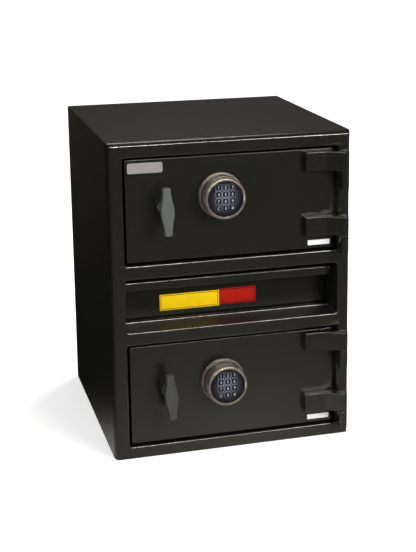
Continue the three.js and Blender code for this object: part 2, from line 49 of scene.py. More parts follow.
# Camera
# It stands in front and to the left, a little above the safe's top. Its angles were fitted to the body's
# edges, and a small lens shift puts the safe where the photograph has it.
CAMERA_AT = (-0.65885, -2.65872, 1.10888)
CAMERA_ROUND = math.radians(-16.2317)
CAMERA_ABOVE = math.radians(12.7437)
CAMERA_ROLL = math.radians(-0.3724)
FOCAL_LENGTH_PX = 1271.07
FRAME_HEIGHT_PX = 552
SENSOR_MM = 36
LENS_SHIFT = (-0.08, -0.15)


def in_scene(name, data):
    """An object in the scene, made of the data."""
    made = bpy.data.objects.new(name, data)
    bpy.context.scene.collection.objects.link(made)
    return made


camera = in_scene("camera", bpy.data.cameras.new("camera"))
bpy.context.scene.camera = camera
towards_camera = Vector((
    math.sin(CAMERA_ROUND) * math.cos(CAMERA_ABOVE),
    -math.cos(CAMERA_ROUND) * math.cos(CAMERA_ABOVE),
    math.sin(CAMERA_ABOVE)))
camera.location = CAMERA_AT
camera.rotation_mode = "QUATERNION"
camera.rotation_quaternion = towards_camera.to_track_quat("Z", "Y") @ Quaternion((0, 0, 1), CAMERA_ROLL)
camera.data.sensor_width = SENSOR_MM
camera.data.lens = FOCAL_LENGTH_PX * SENSOR_MM / FRAME_HEIGHT_PX
camera.data.shift_x, camera.data.shift_y = LENS_SHIFT
bpy.context.scene.view_settings.view_transform = "Standard"

# Body shell
# Welded steel: one plate wraps over both sides and the top, and its front bends in along a quarter of an
# ellipse to a face plate with three openings. A jamb is welded behind each door opening and a sheet recess
# behind the middle one, and all of it is powder coated.
MM = 0.001
WALL = 6.35 * MM
FRONT_BEND = 8.5 * MM
BEND_BACK = 18 * MM
BEND_LEAD = 0.5 * MM
BEND_STEPS = 10
REAR_EDGE = 1.2 * MM
REAR_STEPS = 3
TOP_CORNER_R = 2.5 * MM
OPENING_X = (-223 * MM, 226 * MM)
UPPER_OPENING_Z = (410 * MM, 629.5 * MM)
RECESS_OPENING_Z = (271 * MM, 381 * MM)
LOWER_OPENING_Z = (25 * MM, 243 * MM)
BAND_Z = (257 * MM, 395.5 * MM)
OPENING_CORNER = 5 * MM
CORNER_STEPS = 6
RIM_RUN = 4.4 * MM
RIM_DEPTH = 2.8 * MM
RIM_STEPS = 8
JAMB = {"depth": 20.5 * MM, "wall": 5 * MM}
RECESS = {"depth": 97 * MM, "wall": 3 * MM, "sill": 67 * MM}
JAMB_EDGE = 0.8 * MM
SILL_FACES = -0.6
FRONT_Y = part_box("front_frame")[0].y
COAT_CLOUDS = 60 * MM
COAT_PEEL, PEEL_DEPTH = 9 * MM, 0.16 * MM
COAT_GRAIN, GRAIN_DEPTH = 2.8 * MM, 0.27 * MM
COAT_TINT = (1, 0.98, 0.86, 1)
MERGE_WITHIN = 0.002 * MM
SHARP_FROM = math.radians(38)
NEAR = 0.1 * MM


def linear(colour):
    """An sRGB hex colour as the linear one that a shader takes: each channel v is v / 12.92, or above a small
    value ((v + 0.055) / 1.055) to the power 2.4."""
    v = np.array([int(colour[i:i + 2], 16) for i in (1, 3, 5)]) / 255
    return (*np.where(v <= 0.04045, v / 12.92, ((v + 0.055) / 1.055) ** 2.4), 1.0)


def add(tree, kind, inputs=None, stops=(), **settings):
    """One shader node: its settings by name, and a ramp's stops as places and hex colours. Each input is a
    value, the output that feeds it, or the node whose first output does."""
    node = tree.nodes.new(f"ShaderNode{kind}")
    for name, value in settings.items():
        setattr(node, name, value)
    for name, value in (inputs or {}).items():
        if isinstance(value, bpy.types.Node):
            value = value.outputs[0]
        if isinstance(value, bpy.types.NodeSocket):
            tree.links.new(value, node.inputs[name])
        else:
            node.inputs[name].default_value = value
    for _ in stops[2:]:
        node.color_ramp.elements.new(0.5)
    for i, (position, colour) in enumerate(stops):
        node.color_ramp.elements[i].position = position
        node.color_ramp.elements[i].color = linear(colour)
    return node


def emptied(owner):
    """The node tree of a material or of the world, with nothing in it yet."""
    owner.use_nodes = True
    owner.node_tree.nodes.clear()
    return owner.node_tree


def new_finish(name, place="Object"):
    """A material with an empty node tree, and the place, on the object or in its UV map, for its patterns."""
    material = bpy.data.materials.new(name)
    tree = emptied(material)
    return material, tree, add(tree, "TexCoord").outputs[place]


def dress(material, **sockets):
    """The material with its one shader, whose sockets hold what is the same all over or are fed by a node."""
    inputs = {key.replace("_", " "): value for key, value in sockets.items()}
    shader = add(material.node_tree, "BsdfPrincipled", inputs)
    add(material.node_tree, "OutputMaterial", {"Surface": shader})
    return material


def powder_coat(name, dark, light, roughness, gloss=0.75):
    """Black semi-gloss polyester powder, baked on steel. It flows out with a slow orange peel, 9 mm from
    crest to crest, under a grain of 2.8 mm, which breaks up each highlight along an edge. The real powder's
    grain is under 0.2 mm and is drawn as coarse as it needs to show. Clouds of 60 mm lie in its black."""
    material, tree, place = new_finish(name)
    clouds = add(tree, "TexNoise", {"Vector": place, "Scale": 1 / COAT_CLOUDS, "Detail": 3.0})
    colour = add(tree, "ValToRGB", {"Fac": clouds}, ((0, dark), (1, light)))
    peel = add(tree, "TexNoise", {"Vector": place, "Scale": 1 / COAT_PEEL, "Detail": 1.0})
    grain = add(tree, "TexNoise", {"Vector": place, "Scale": 1 / COAT_GRAIN, "Detail": 2.0})
    spread = add(tree, "MapRange", {
        "Value": grain, "From Min": 0.3, "From Max": 0.7,
        "To Min": roughness - 0.05, "To Max": roughness + 0.05})
    waves = add(tree, "Bump", {"Height": peel, "Distance": PEEL_DEPTH})
    bumps = add(tree, "Bump", {"Height": grain, "Distance": GRAIN_DEPTH, "Normal": waves})
    return dress(
        material, Base_Color=colour, Roughness=spread, Normal=bumps,
        Specular_IOR_Level=gloss, Specular_Tint=COAT_TINT)


def grid_faces(rows, columns, ring=False):
    """Quads between the points of a grid numbered row by row; in a ring the last row meets the first."""
    i = np.arange(rows if ring else rows - 1)[:, None]
    j = np.arange(columns - 1)[None, :]
    here, across = i * columns + j, (i + 1) % rows * columns + j
    return np.stack([here, here + 1, across + 1, across], -1).reshape(-1, 4)


def joined(*parts):
    """Several pairs of points and faces as one pair, each list of faces moved up past earlier points."""
    points, faces, count = [], [], 0
    for part_points, part_faces in parts:
        part_points = np.asarray(part_points, float).reshape(-1, 3)
        points.append(part_points)
        faces += [[int(corner) + count for corner in face] for face in part_faces]
        count += len(part_points)
    return np.concatenate(points), faces


def new_piece(name, points, faces, *materials, material_of_face=None, uv=None):
    """A named object whose place is in its mesh. Doubles are merged, faces are turned outwards, and rounds
    are smoothed while flat faces keep their own normal."""
    mesh = bpy.data.meshes.new(name)
    faces = [list(map(int, face)) for face in faces]
    mesh.from_pydata(np.asarray(points).reshape(-1, 3).tolist(), [], faces)
    if material_of_face is not None:
        mesh.polygons.foreach_set("material_index", material_of_face)
    if uv is not None:
        mesh.uv_layers.new(name="UVMap").data.foreach_set("uv", np.asarray(uv, np.float32).ravel())
    shape = bmesh.new()
    shape.from_mesh(mesh)
    bmesh.ops.remove_doubles(shape, verts=shape.verts, dist=MERGE_WITHIN)
    bmesh.ops.recalc_face_normals(shape, faces=shape.faces)
    shape.to_mesh(mesh)
    shape.free()
    mesh.shade_smooth()
    mesh.set_sharp_from_angle(angle=SHARP_FROM)
    for material in materials:
        mesh.materials.append(material)
    piece = in_scene(name, mesh)
    piece.modifiers.new("flat_faces", "WEIGHTED_NORMAL").keep_sharp = True
    return piece


def quarter(steps):
    """Sine and cosine of evenly spaced angles over a quarter turn."""
    turn = np.linspace(0, math.pi / 2, steps + 1)
    return np.sin(turn), np.cos(turn)


body_low, body_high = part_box("body_wrap")
BODY_DEPTH = body_high.y - FRONT_Y
PLATE_INSET = FRONT_BEND + BEND_LEAD
plate_x = (body_low.x + PLATE_INSET, body_high.x - PLATE_INSET)
band_edges = (body_low.z, *BAND_Z, body_high.z - PLATE_INSET)


def wrap_walls():
    """The wall's cross-section, from the front bend round the rear edge and back inside, carried along a path
    that goes up the left side, over the top and down the right. Each point is the path's point plus its
    distance along the path's outward direction, plus its depth. At the two top corners, which are mitred, the
    outward direction runs along a square's corner with a small round, so that the bends meet in a crease."""
    sine, cosine = quarter(BEND_STEPS)
    rear_sine, rear_cosine = quarter(REAR_STEPS)
    section = np.concatenate([
        [[0, 0]],
        np.stack([BEND_LEAD + FRONT_BEND * sine, BEND_BACK * (1 - cosine)], 1),
        np.stack([PLATE_INSET - REAR_EDGE * (1 - rear_cosine), BODY_DEPTH - REAR_EDGE * (1 - rear_sine)], 1),
        [[PLATE_INSET - WALL, BODY_DEPTH], [PLATE_INSET - WALL, WALL], [0, WALL]]])
    side_z = np.array(band_edges[:3])
    share = TOP_CORNER_R / PLATE_INSET
    corner = np.stack([share - 1 - share * cosine, 0 * sine, 1 - share + share * sine], 1)
    side = np.tile([-1.0, 0, 0], (len(side_z), 1))
    outward = np.concatenate([side, corner, corner[::-1] * (-1, 1, 1), -side])
    half = len(side_z) + len(corner)
    path = np.zeros((2 * half, 3))
    path[:, 0] = np.repeat(plate_x, half)
    path[:, 1] = FRONT_Y
    path[:, 2] = [*side_z, *[band_edges[3]] * (2 * len(corner)), *side_z[::-1]]
    points = path[:, None] + outward[:, None] * section[None, :, :1]
    points[:, :, 1] += section[None, :, 1]
    rows, columns = points.shape[:2]
    ends = [range(columns), range((rows - 1) * columns, rows * columns)]
    return points, [*grid_faces(rows, columns), *ends]


def opening(z, band_z, depth, wall, sill=None):
    """The face plate round one opening, with the jamb behind it: a profile that runs from the band's edge
    over the rim, a quarter of an ellipse, back along the jamb and home behind the plate, carried round the
    four corners. The side that faces up is as deep as the sill, where one is given."""
    turn = np.linspace(0, math.pi / 2, CORNER_STEPS + 1)
    around = np.concatenate([turn + k * math.pi / 2 for k in (-1, 0, 1, 2)])
    corner = np.repeat(range(4), CORNER_STEPS + 1)
    right, top = np.isin(corner, (0, 1)), np.isin(corner, (1, 2))
    flat = 0 * around
    away = np.stack([np.cos(around), flat, np.sin(around)], 1)
    centre = np.stack([
        np.where(right, OPENING_X[1] - OPENING_CORNER, OPENING_X[0] + OPENING_CORNER),
        flat + FRONT_Y,
        np.where(top, z[1] - OPENING_CORNER, z[0] + OPENING_CORNER)], 1)
    band = np.stack([
        np.where(right, plate_x[1], plate_x[0]), flat + FRONT_Y, np.where(top, band_z[1], band_z[0])], 1)
    end = np.where(away[:, 2] < SILL_FACES, sill or depth, depth)
    columns = [band]
    for sine, cosine in zip(*quarter(RIM_STEPS)):
        out, back = OPENING_CORNER + RIM_RUN * (1 - sine), RIM_DEPTH * (1 - cosine)
        columns.append(centre + away * out + (0, back, 0))
    for out, short in ((0, JAMB_EDGE), (0.3 * JAMB_EDGE, 0.3 * JAMB_EDGE), (JAMB_EDGE, 0), (wall, 0)):
        columns.append(centre + away * (OPENING_CORNER + out) + np.outer(end - short, (0, 1, 0)))
    columns.append(centre + away * (OPENING_CORNER + wall) + (0, WALL, 0))
    columns.append(band + (0, WALL, 0))
    return np.stack(columns, 1), grid_faces(len(around), len(columns), ring=True)


underside = [(x, FRONT_Y + y, body_low.z) for x, y in (
    (plate_x[0], 0), (plate_x[1], 0), (plate_x[1], WALL), (plate_x[0], WALL))]
points, faces = joined(
    wrap_walls(),
    opening(LOWER_OPENING_Z, band_edges[0:2], **JAMB),
    opening(RECESS_OPENING_Z, band_edges[1:3], **RECESS),
    opening(UPPER_OPENING_Z, band_edges[2:4], **JAMB),
    (underside, [range(4)]))
coat = powder_coat("black_powder_coat", "#161613", "#1b1b18", roughness=0.17)
# The recess and the top came out duller, and mirror little.
recess_coat = powder_coat("black_powder_coat_in_recess", "#161614", "#1b1b19", roughness=0.4, gloss=0.12)
top_coat = powder_coat("black_powder_coat_on_top", "#161613", "#1b1b18", roughness=0.46, gloss=0.6)
body_shell = new_piece("body_shell", points, faces, coat, recess_coat, top_coat)
for face in body_shell.data.polygons:
    x, y, z = face.center
    in_recess = BAND_Z[0] < z < BAND_Z[1] and plate_x[0] < x < plate_x[1] and y > FRONT_Y + RIM_DEPTH
    on_top = z > body_high.z - NEAR
    face.material_index = 1 if in_recess else 2 if on_top else 0
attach(body_shell, "body")
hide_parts("body_wrap", "front_frame", "recess_liner")

# Inner plates
# Flat steel plates welded into the body: the back, the floor with its four anchor holes, the shelf under the
# upper compartment, and the bent guard behind the drawer. They have the same coat, thinner and duller inside.


def coat_solids(material, *nodes):
    """Solids that show as they are, each given one material."""
    for node in nodes:
        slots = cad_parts[node].data.materials
        slots.clear()
        slots.append(material)


inner_coat = powder_coat("black_powder_coat_inside", "#161614", "#1b1b19", roughness=0.42)
coat_solids(coat, "back_plate")
coat_solids(inner_coat, "floor_plate", "upper_shelf", "drop_guard")

# Deposit drawer
# A sheet steel front, folded forward at its top into a pull lip, with a bent tray spot-welded behind it. Both
# tip about a blackened steel rod in the recess's cheeks. The lip's top is dull, and the panel is painted a
# deeper black as shade, for the back of the recess where it stands.
PANEL_SHEET = 3 * MM
PANEL_X = (-221 * MM, 223 * MM)
PANEL_Z = (274 * MM, 367 * MM)
PANEL_Y = (FRONT_Y + 72 * MM, FRONT_Y + 75 * MM)
PANEL_EDGE = 0.8 * MM
LIP_Y = (FRONT_Y + 35 * MM, FRONT_Y + 38 * MM)
LIP_Z = 347 * MM
INNER_BEND = 2.5 * MM
OUTER_BEND = INNER_BEND + PANEL_SHEET
WORLD_ORDER = {"x": [2, 0, 1], "y": [0, 2, 1], "z": [0, 1, 2]}


def rounded(corners, radii, steps=5):
    """A closed outline: each corner becomes an arc that touches both its edges, its centre plus the arm to
    its start turned evenly to its end."""
    corners = np.asarray(corners, float)
    outline = []
    befores, afters = np.roll(corners, 1, 0), np.roll(corners, -1, 0)
    for before, corner, after, radius in zip(befores, corners, afters, radii):
        if radius == 0:
            outline.append(corner[None])
            continue
        back = (before - corner) / np.linalg.norm(before - corner)
        onward = (after - corner) / np.linalg.norm(after - corner)
        half = math.acos(np.clip(back @ onward, -1, 1)) / 2
        centre = corner + (back + onward) / np.linalg.norm(back + onward) * radius / math.sin(half)
        arm = corner + back * radius / math.tan(half) - centre
        last = corner + onward * radius / math.tan(half) - centre
        sweep = math.atan2(arm[0] * last[1] - arm[1] * last[0], arm @ last)
        turn = np.linspace(0, sweep, steps + 1)[:, None]
        outline.append(centre + arm * np.cos(turn) + np.array([-arm[1], arm[0]]) * np.sin(turn))
    return np.concatenate(outline)


def inset_by(outline, distance):
    """The outline moved inwards: each point goes along the sum of its two edges' inward normals, far enough
    that both edges move by the distance."""
    after = np.roll(outline, -1, 0)
    onward = after - outline
    onward = onward / np.linalg.norm(onward, axis=1, keepdims=True)
    normal = np.stack([-onward[:, 1], onward[:, 0]], 1)
    before = np.roll(normal, 1, 0)
    turns = np.sign(np.sum(outline[:, 0] * after[:, 1] - outline[:, 1] * after[:, 0]))
    share = 1 + np.sum(normal * before, 1, keepdims=True)
    return outline + turns * distance * (normal + before) / np.maximum(share, 0.3)


def prism(outline, levels, edges=(0, 0), axis="y", holes=(), steps=3):
    """An outline raised along an axis from one level to another. Towards each end it is inset along a quarter
    circle of that end's edge radius, and a flat cap closes it, open at the holes, which run straight."""
    outline = np.asarray(outline, float)

    def at_level(loop, level):
        """The loop's points with the level after them."""
        return np.column_stack([loop, np.full(len(loop), level)])

    rows = []
    for edge, level, sign in ((edges[0], levels[0], 1), (edges[1], levels[1], -1)):
        sine, cosine = quarter(steps) if edge else ([1], [1])
        loops = [
            at_level(inset_by(outline, edge * (1 - s)) if edge else outline, level + sign * edge * (1 - c))
            for s, c in zip(sine, cosine)]
        rows += loops[::sign]
    skin = np.stack([np.concatenate([row, row[:1]]) for row in rows])
    parts = [(skin, grid_faces(len(rows), len(outline) + 1))]
    bores = [[at_level(np.asarray(hole, float), level) for level in levels] for hole in holes]
    for bore in bores:
        wall = np.stack([np.concatenate([loop, loop[:1]]) for loop in bore])
        parts.append((wall, grid_faces(2, wall.shape[1])))
    for end in (0, -1):
        loops = [rows[end], *(bore[end] for bore in bores)]
        cap = tessellate_polygon([[Vector((*point[:2], 0)) for point in loop] for loop in loops])
        parts.append((np.concatenate(loops), cap))
    points, faces = joined(*parts)
    return points[:, WORLD_ORDER[axis]], faces


(front, back), (low, high) = PANEL_Y, PANEL_Z
under_fold = high - PANEL_SHEET
front_outline = rounded(
    [(front, low), (front, under_fold), (LIP_Y[1], under_fold), (LIP_Y[1], LIP_Z),
     (LIP_Y[0], LIP_Z), (LIP_Y[0], high), (back, high), (back, low)],
    [PANEL_EDGE, INNER_BEND, INNER_BEND, PANEL_EDGE, PANEL_EDGE, OUTER_BEND, OUTER_BEND, PANEL_EDGE])
# The panel's colour is painted shade: darker than the body's coat, for the shade at the back of the recess.
shaded_panel_coat = powder_coat("black_powder_coat_shaded_on_drawer", "#0f0f0d", "#131311", roughness=0.17, gloss=0.5)
folded = prism(front_outline, PANEL_X, (PANEL_EDGE, PANEL_EDGE), "x")
drawer_front = new_piece("deposit_drawer_front", *folded, coat, recess_coat, shaded_panel_coat)
for face in drawer_front.data.polygons:
    on_top, on_panel = face.center.z > high - NEAR, face.center.y > front - NEAR
    face.material_index = 1 if on_top else 2 if on_panel else 0
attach(drawer_front, "drawer")
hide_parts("drawer_front")


def treated_steel(name, colour, roughness):
    """Turned or cut steel, zinc plated or blackened. Its gloss is mottled in patches of 5 mm, over tool marks
    0.8 mm apart, which are finer on the real rod and bolts."""
    material, tree, place = new_finish(name)
    mottle = add(tree, "TexNoise", {"Vector": place, "Scale": 1 / (5 * MM), "Detail": 3.0})
    spread = add(tree, "MapRange", {
        "Value": mottle, "To Min": roughness - 0.1, "To Max": roughness + 0.12})
    marks = add(tree, "TexNoise", {"Vector": place, "Scale": 1 / (0.8 * MM), "Detail": 2.0})
    relief = add(tree, "Bump", {"Height": marks, "Distance": 0.01 * MM})
    return dress(material, Base_Color=linear(colour), Metallic=1.0, Roughness=spread, Normal=relief)


zinc = treated_steel("zinc_plated_steel", "#b4b6b8", roughness=0.34)
black_oxide = treated_steel("black_oxide_steel", "#3a3a3b", roughness=0.5)
tray_paint = powder_coat("grey_tray_paint", "#2c2c2b", "#343432", roughness=0.5)
coat_solids(black_oxide, "drawer_rod")
coat_solids(tray_paint, "drawer_tray")

# Recess sill bead
# The sill's rear edge is hemmed: the sheet is rolled up and back on itself, just short of the drawer's front,
# so that no raw edge faces a hand. It is coated with the body.
BEAD_R = 5.4 * MM
BEAD_Y = FRONT_Y + RECESS["sill"] - BEAD_R
BEAD_Z = RECESS_OPENING_Z[0] + 0.2 * MM
BEAD_FOOT = 1 * MM
BEAD_END_PLAY = 1 * MM


def circle(centre, radius, sides=40, start=0.0, sweep=math.tau):
    """Points evenly round a circle, or along an arc when the sweep is less than a full turn."""
    turn = start + np.linspace(0, sweep, sides + 1)[:sides if sweep == math.tau else sides + 1]
    return np.asarray(centre) + radius * np.stack([np.cos(turn), np.sin(turn)], 1)


bead_x = (OPENING_X[0] + BEAD_END_PLAY, OPENING_X[1] - BEAD_END_PLAY)
bead_top = circle((BEAD_Y, BEAD_Z), BEAD_R, 16, sweep=math.pi)
bead_bottom = [(BEAD_Y - BEAD_R, BEAD_Z - BEAD_FOOT), (BEAD_Y + BEAD_R, BEAD_Z - BEAD_FOOT)]
bead_outline = np.concatenate([bead_top, bead_bottom])
sill_bead = new_piece("recess_sill_bead", *prism(bead_outline, bead_x, axis="x"), coat)
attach(sill_bead, "body")

# Coloured strip
# Two blank vinyl labels stuck side by side on the drawer's front, one yellow and one a little higher and red,
# each with a thin printed line inside its edge.
STRIP_THICK = 0.15 * MM
YELLOW_LABEL = ((-139.2 * MM, -12 * MM), (288.7 * MM, 323 * MM))
RED_LABEL = ((-12 * MM, 68 * MM), (291 * MM, 325 * MM))
LABEL_CORNER = 0.6 * MM
LABEL_EDGE = 0.04 * MM
BORDER_IN = 2.6 * MM
BORDER_LINE = 1.3 * MM


def rectangle(x, z):
    """The four corners of an upright rectangle, counterclockwise from the lower left."""
    return [(x[0], z[0]), (x[1], z[0]), (x[1], z[1]), (x[0], z[1])]


def printed_vinyl(name, ground, line, x, z, border_in=BORDER_IN, border_line=BORDER_LINE):
    """Glossy printed vinyl, lying in faint waves of 14 mm and faded a little in patches of 20 mm. The printed
    line is where the greater of the two distances past the inner rectangle's sides is nearly nought."""
    material, tree, place = new_finish(name)
    centred = add(tree, "Mapping", {
        "Vector": place, "Location": (-(x[0] + x[1]) / 2, 0, -(z[0] + z[1]) / 2)})
    apart = add(tree, "SeparateXYZ", {"Vector": centred})
    past = []
    for side, (low, high) in (("X", x), ("Z", z)):
        size = add(tree, "Math", {0: apart.outputs[side]}, operation="ABSOLUTE")
        inner = (high - low) / 2 - border_in
        past.append(add(tree, "Math", {0: size, 1: inner}, operation="SUBTRACT"))
    greater = add(tree, "Math", {0: past[0], 1: past[1]}, operation="MAXIMUM")
    on_line = add(tree, "Math", {0: greater, 1: 0.0, 2: border_line / 2}, operation="COMPARE")
    wear = add(tree, "TexNoise", {"Vector": place, "Scale": 1 / (20 * MM), "Detail": 4.0})
    value = add(tree, "MapRange", {
        "Value": wear, "From Min": 0.3, "From Max": 0.7, "To Min": 0.93, "To Max": 1.05})
    faded = add(tree, "HueSaturation", {"Color": linear(ground), "Value": value})
    colour = add(tree, "Mix", {0: on_line, 6: faded, 7: linear(line)}, data_type="RGBA")
    waves = add(tree, "TexNoise", {"Vector": place, "Scale": 1 / (14 * MM), "Detail": 1.0})
    relief = add(tree, "Bump", {"Height": waves, "Distance": 0.12 * MM})
    return dress(
        material, Base_Color=colour.outputs[2], Roughness=0.24, Normal=relief, Specular_IOR_Level=0.15)


for name, (x, z), ground, line in (
        ("yellow_blank_label", YELLOW_LABEL, "#ffd600", "#7a4008"),
        ("red_blank_label", RED_LABEL, "#b41a08", "#2c0904")):
    outline = rounded(rectangle(x, z), [LABEL_CORNER] * 4, steps=3)
    levels = (PANEL_Y[0] - STRIP_THICK, PANEL_Y[0])
    label = new_piece(
        name, *prism(outline, levels, (LABEL_EDGE, 0), steps=1),
        printed_vinyl(f"{name}_vinyl", ground, line, x, z))
    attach(label, "drawer")

# Doors
# Each door is a 12.7 mm steel plate with rounded edges, set in its opening, and behind its hinge side an
# L-shaped bar is welded on, which hooks behind the jamb. Plate and bar are coated like the body.
DOOR_EDGE = 1 * MM
DOOR_CORNER = 4.2 * MM
DOOR_THICK = 12.7 * MM
DOOR_RIGHT = 216.6 * MM
HOOK_FOOT_IN = (12 * MM, 1 * MM)
HOOK_TIP_X = 232 * MM
HOOK_Y = (FRONT_Y + 21.5 * MM, FRONT_Y + 27.85 * MM)
HOOK_SHORT = 22 * MM
HOOK_BEND = 1.5 * MM
HOOK_TIP_ROUND = 1 * MM
HOOK_EDGE = 0.8 * MM
SIDES = ("upper", "lower")
door_y, door_z = {}, {}
for side in SIDES:
    low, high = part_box(f"{side}_door_plate")
    door_y[side] = (low.y, low.y + DOOR_THICK)
    door_z[side] = (low.z, high.z)
    outline = rounded(rectangle((low.x, DOOR_RIGHT), door_z[side]), [DOOR_CORNER] * 4)
    door = new_piece(f"{side}_door", *prism(outline, door_y[side], (DOOR_EDGE, DOOR_EDGE), steps=5), coat)
    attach(door, f"{side}_door")
    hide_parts(f"{side}_door_plate")
    foot_x = (DOOR_RIGHT - HOOK_FOOT_IN[0], DOOR_RIGHT - HOOK_FOOT_IN[1])
    rear = door_y[side][1]
    hook_outline = rounded(
        [(foot_x[0], rear), (foot_x[1], rear), (foot_x[1], HOOK_Y[0]), (HOOK_TIP_X, HOOK_Y[0]),
         (HOOK_TIP_X, HOOK_Y[1]), (foot_x[0], HOOK_Y[1])],
        [0, 0, HOOK_BEND, HOOK_TIP_ROUND, HOOK_TIP_ROUND, HOOK_BEND], steps=3)
    hook_z = (door_z[side][0] + HOOK_SHORT, door_z[side][1] - HOOK_SHORT)
    hook = new_piece(
        f"{side}_door_hook_bar", *prism(hook_outline, hook_z, (HOOK_EDGE, HOOK_EDGE), "z"), inner_coat)
    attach(hook, f"{side}_door")

# Hinges
# Two strap hinges a door: a thick bar, flat on the door, is bent out and bored for the pin. A knuckle below
# it is welded to the frame by its leaf, and the pin stands in it and ends in a flat head over the strap.
HINGE_AT = (231 * MM, FRONT_Y - 25 * MM)
BARREL_R = 9.2 * MM
PIN_R = 5 * MM
PIN_PLAY = 0.3 * MM
STRAP_LEFT = 152 * MM
STRAP_FRONT = FRONT_Y - 13 * MM
STRAP_BACK = FRONT_Y + 5.7 * MM
STRAP_LEAN = math.radians(32.9)
STRAP_EDGE = 1.8 * MM
KNUCKLE_GAP = 0.6 * MM
KNUCKLE_HIGH = 37.5 * MM
HEAD_R = 8.9 * MM
HEAD_THICK = 2.4 * MM
LEAF_HALF = 8.6 * MM
LEAF_NECK_HALF = 0.6 * BARREL_R
LEAF_EDGE = 1 * MM
STRAP_ROUNDS = (1 * MM, 1.4 * MM, 1.6 * MM, 2 * MM)
KNUCKLE_ROUNDS = (1.2 * MM, 1.2 * MM, 0.2 * MM, 0, 0.5 * MM, 0.9 * MM)


def strap_outline():
    """The bar seen from above: along the door's face, out along a line that leans and touches the barrel's
    circle in front, round half the barrel, and back along the line that touches it behind."""
    outward = np.array([-math.sin(STRAP_LEAN), -math.cos(STRAP_LEAN)])
    along = np.array([math.cos(STRAP_LEAN), -math.sin(STRAP_LEAN)])
    centre = np.array(HINGE_AT)
    in_front, behind = centre + outward * BARREL_R, centre - outward * BARREL_R
    bend = in_front + along * (in_front[1] - STRAP_FRONT) / math.sin(STRAP_LEAN)
    leaves = behind + along * (behind[1] - STRAP_BACK) / math.sin(STRAP_LEAN)
    eye = circle(centre, BARREL_R, 20, math.atan2(outward[1], outward[0]), math.pi)
    blunt = [(STRAP_LEFT, STRAP_BACK), (STRAP_LEFT, STRAP_FRONT), bend]
    return rounded([*blunt, *eye, leaves], [*STRAP_ROUNDS[:3], *[0] * len(eye), STRAP_ROUNDS[3]], steps=4)


def turned(profile, centre, axis="y", sides=64):
    """A turned piece: its profile gives radius against place along the axis, and is carried round the centre.
    Its UV map has the share of a turn across and the profile's own length, in metres, upwards."""
    profile = np.asarray(profile, float)
    turn = np.arange(sides) / sides * math.tau
    ring = np.stack([np.cos(turn), np.sin(turn)], 1)
    flat = np.asarray(centre) + ring[:, None] * profile[None, :, :1]
    level = np.broadcast_to(profile[None, :, 1:], (sides, len(profile), 1))
    points = np.concatenate([flat, level], 2).reshape(-1, 3)[:, WORLD_ORDER[axis]]
    length = np.concatenate([[0], np.cumsum(np.linalg.norm(np.diff(profile, axis=0), axis=1))])
    i, j = np.meshgrid(np.arange(sides), np.arange(len(profile) - 1), indexing="ij")
    uv = np.stack([
        np.stack([i, i, i + 1, i + 1], -1) / sides,
        length[np.stack([j, j + 1, j + 1, j], -1)]], -1)
    return points, grid_faces(sides, len(profile), ring=True), uv


def eased(corners, radii, steps=3):
    """A turned profile with rounded corners. It starts and ends on the axis, and those two points stay."""
    return rounded(corners, [0, *radii, 0], steps)


x, y = HINGE_AT
leaf_outline = [
    (x - LEAF_HALF, FRONT_Y), (x - LEAF_NECK_HALF, y), (x + LEAF_NECK_HALF, y), (x + LEAF_HALF, FRONT_Y)]
bore = circle(HINGE_AT, PIN_R + PIN_PLAY, 32)[::-1]
for side in SIDES:
    for number in (1, 2):
        strap_low, strap_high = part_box(f"{side}_hinge_{number}_strap")
        bar = prism(strap_outline(), (strap_low.z, strap_high.z), (STRAP_EDGE, STRAP_EDGE), "z", [bore])
        strap = new_piece(f"{side}_hinge_{number}_bent_strap", *bar, coat)
        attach(strap, f"{side}_door")
        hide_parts(f"{side}_hinge_{number}_strap")
        foot = strap_low.z - KNUCKLE_GAP - KNUCKLE_HIGH
        neck = strap_low.z - KNUCKLE_GAP
        head = strap_high.z + KNUCKLE_GAP
        profile = eased(
            [(0, foot), (BARREL_R, foot), (BARREL_R, neck), (PIN_R, neck), (PIN_R, head), (HEAD_R, head),
             (HEAD_R, head + HEAD_THICK), (0, head + HEAD_THICK)],
            KNUCKLE_ROUNDS)
        barrel = turned(profile, HINGE_AT, "z", 48)[:2]
        leaf = prism(leaf_outline, (foot, neck), (LEAF_EDGE, LEAF_EDGE), "z")
        knuckle = new_piece(f"{side}_hinge_{number}_knuckle_and_pin", *joined(barrel, leaf), coat)
        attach(knuckle, "body")
        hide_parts(f"{side}_hinge_{number}_knuckle")

# T-handles
# A die-cast zinc grip, flat in front and swelling to its middle, on a tapered boss. It is sprayed satin grey,
# and the lower handle's grey is painted darker as shade, for the less light it gets. It leans a little to the
# left, by the play of its spindle's square.
HANDLE_X = -143 * MM
HANDLE_UP = 110.3 * MM
GRIP_HALF_LONG = 48.5 * MM
GRIP_HALF_END = 7.65 * MM
GRIP_HALF_MIDDLE = 13.5 * MM
GRIP_CROWN = 2 * MM
GRIP_SWELL = (0.28 * GRIP_HALF_LONG, 0.52 * GRIP_HALF_LONG)
GRIP_Y = (FRONT_Y - 46 * MM, FRONT_Y - 33 * MM)
GRIP_EDGES = (2.2 * MM, 1.6 * MM)
BOSS_R = (9.5 * MM, 11.5 * MM)
BOSS_SUNK = 1 * MM
BOSS_PLAY = 0.3 * MM
BOSS_ROUND = 1 * MM
HANDLE_LEAN = {"upper": math.radians(1.6), "lower": math.radians(3)}
# Lit and shaded copies of one grey: the lower handle's grey is painted darker as shade.
HANDLE_LIT_AND_SHADED_GREYS = {"upper": ("#51534f", "#5a5c58"), "lower": ("#3c3c38", "#444440")}


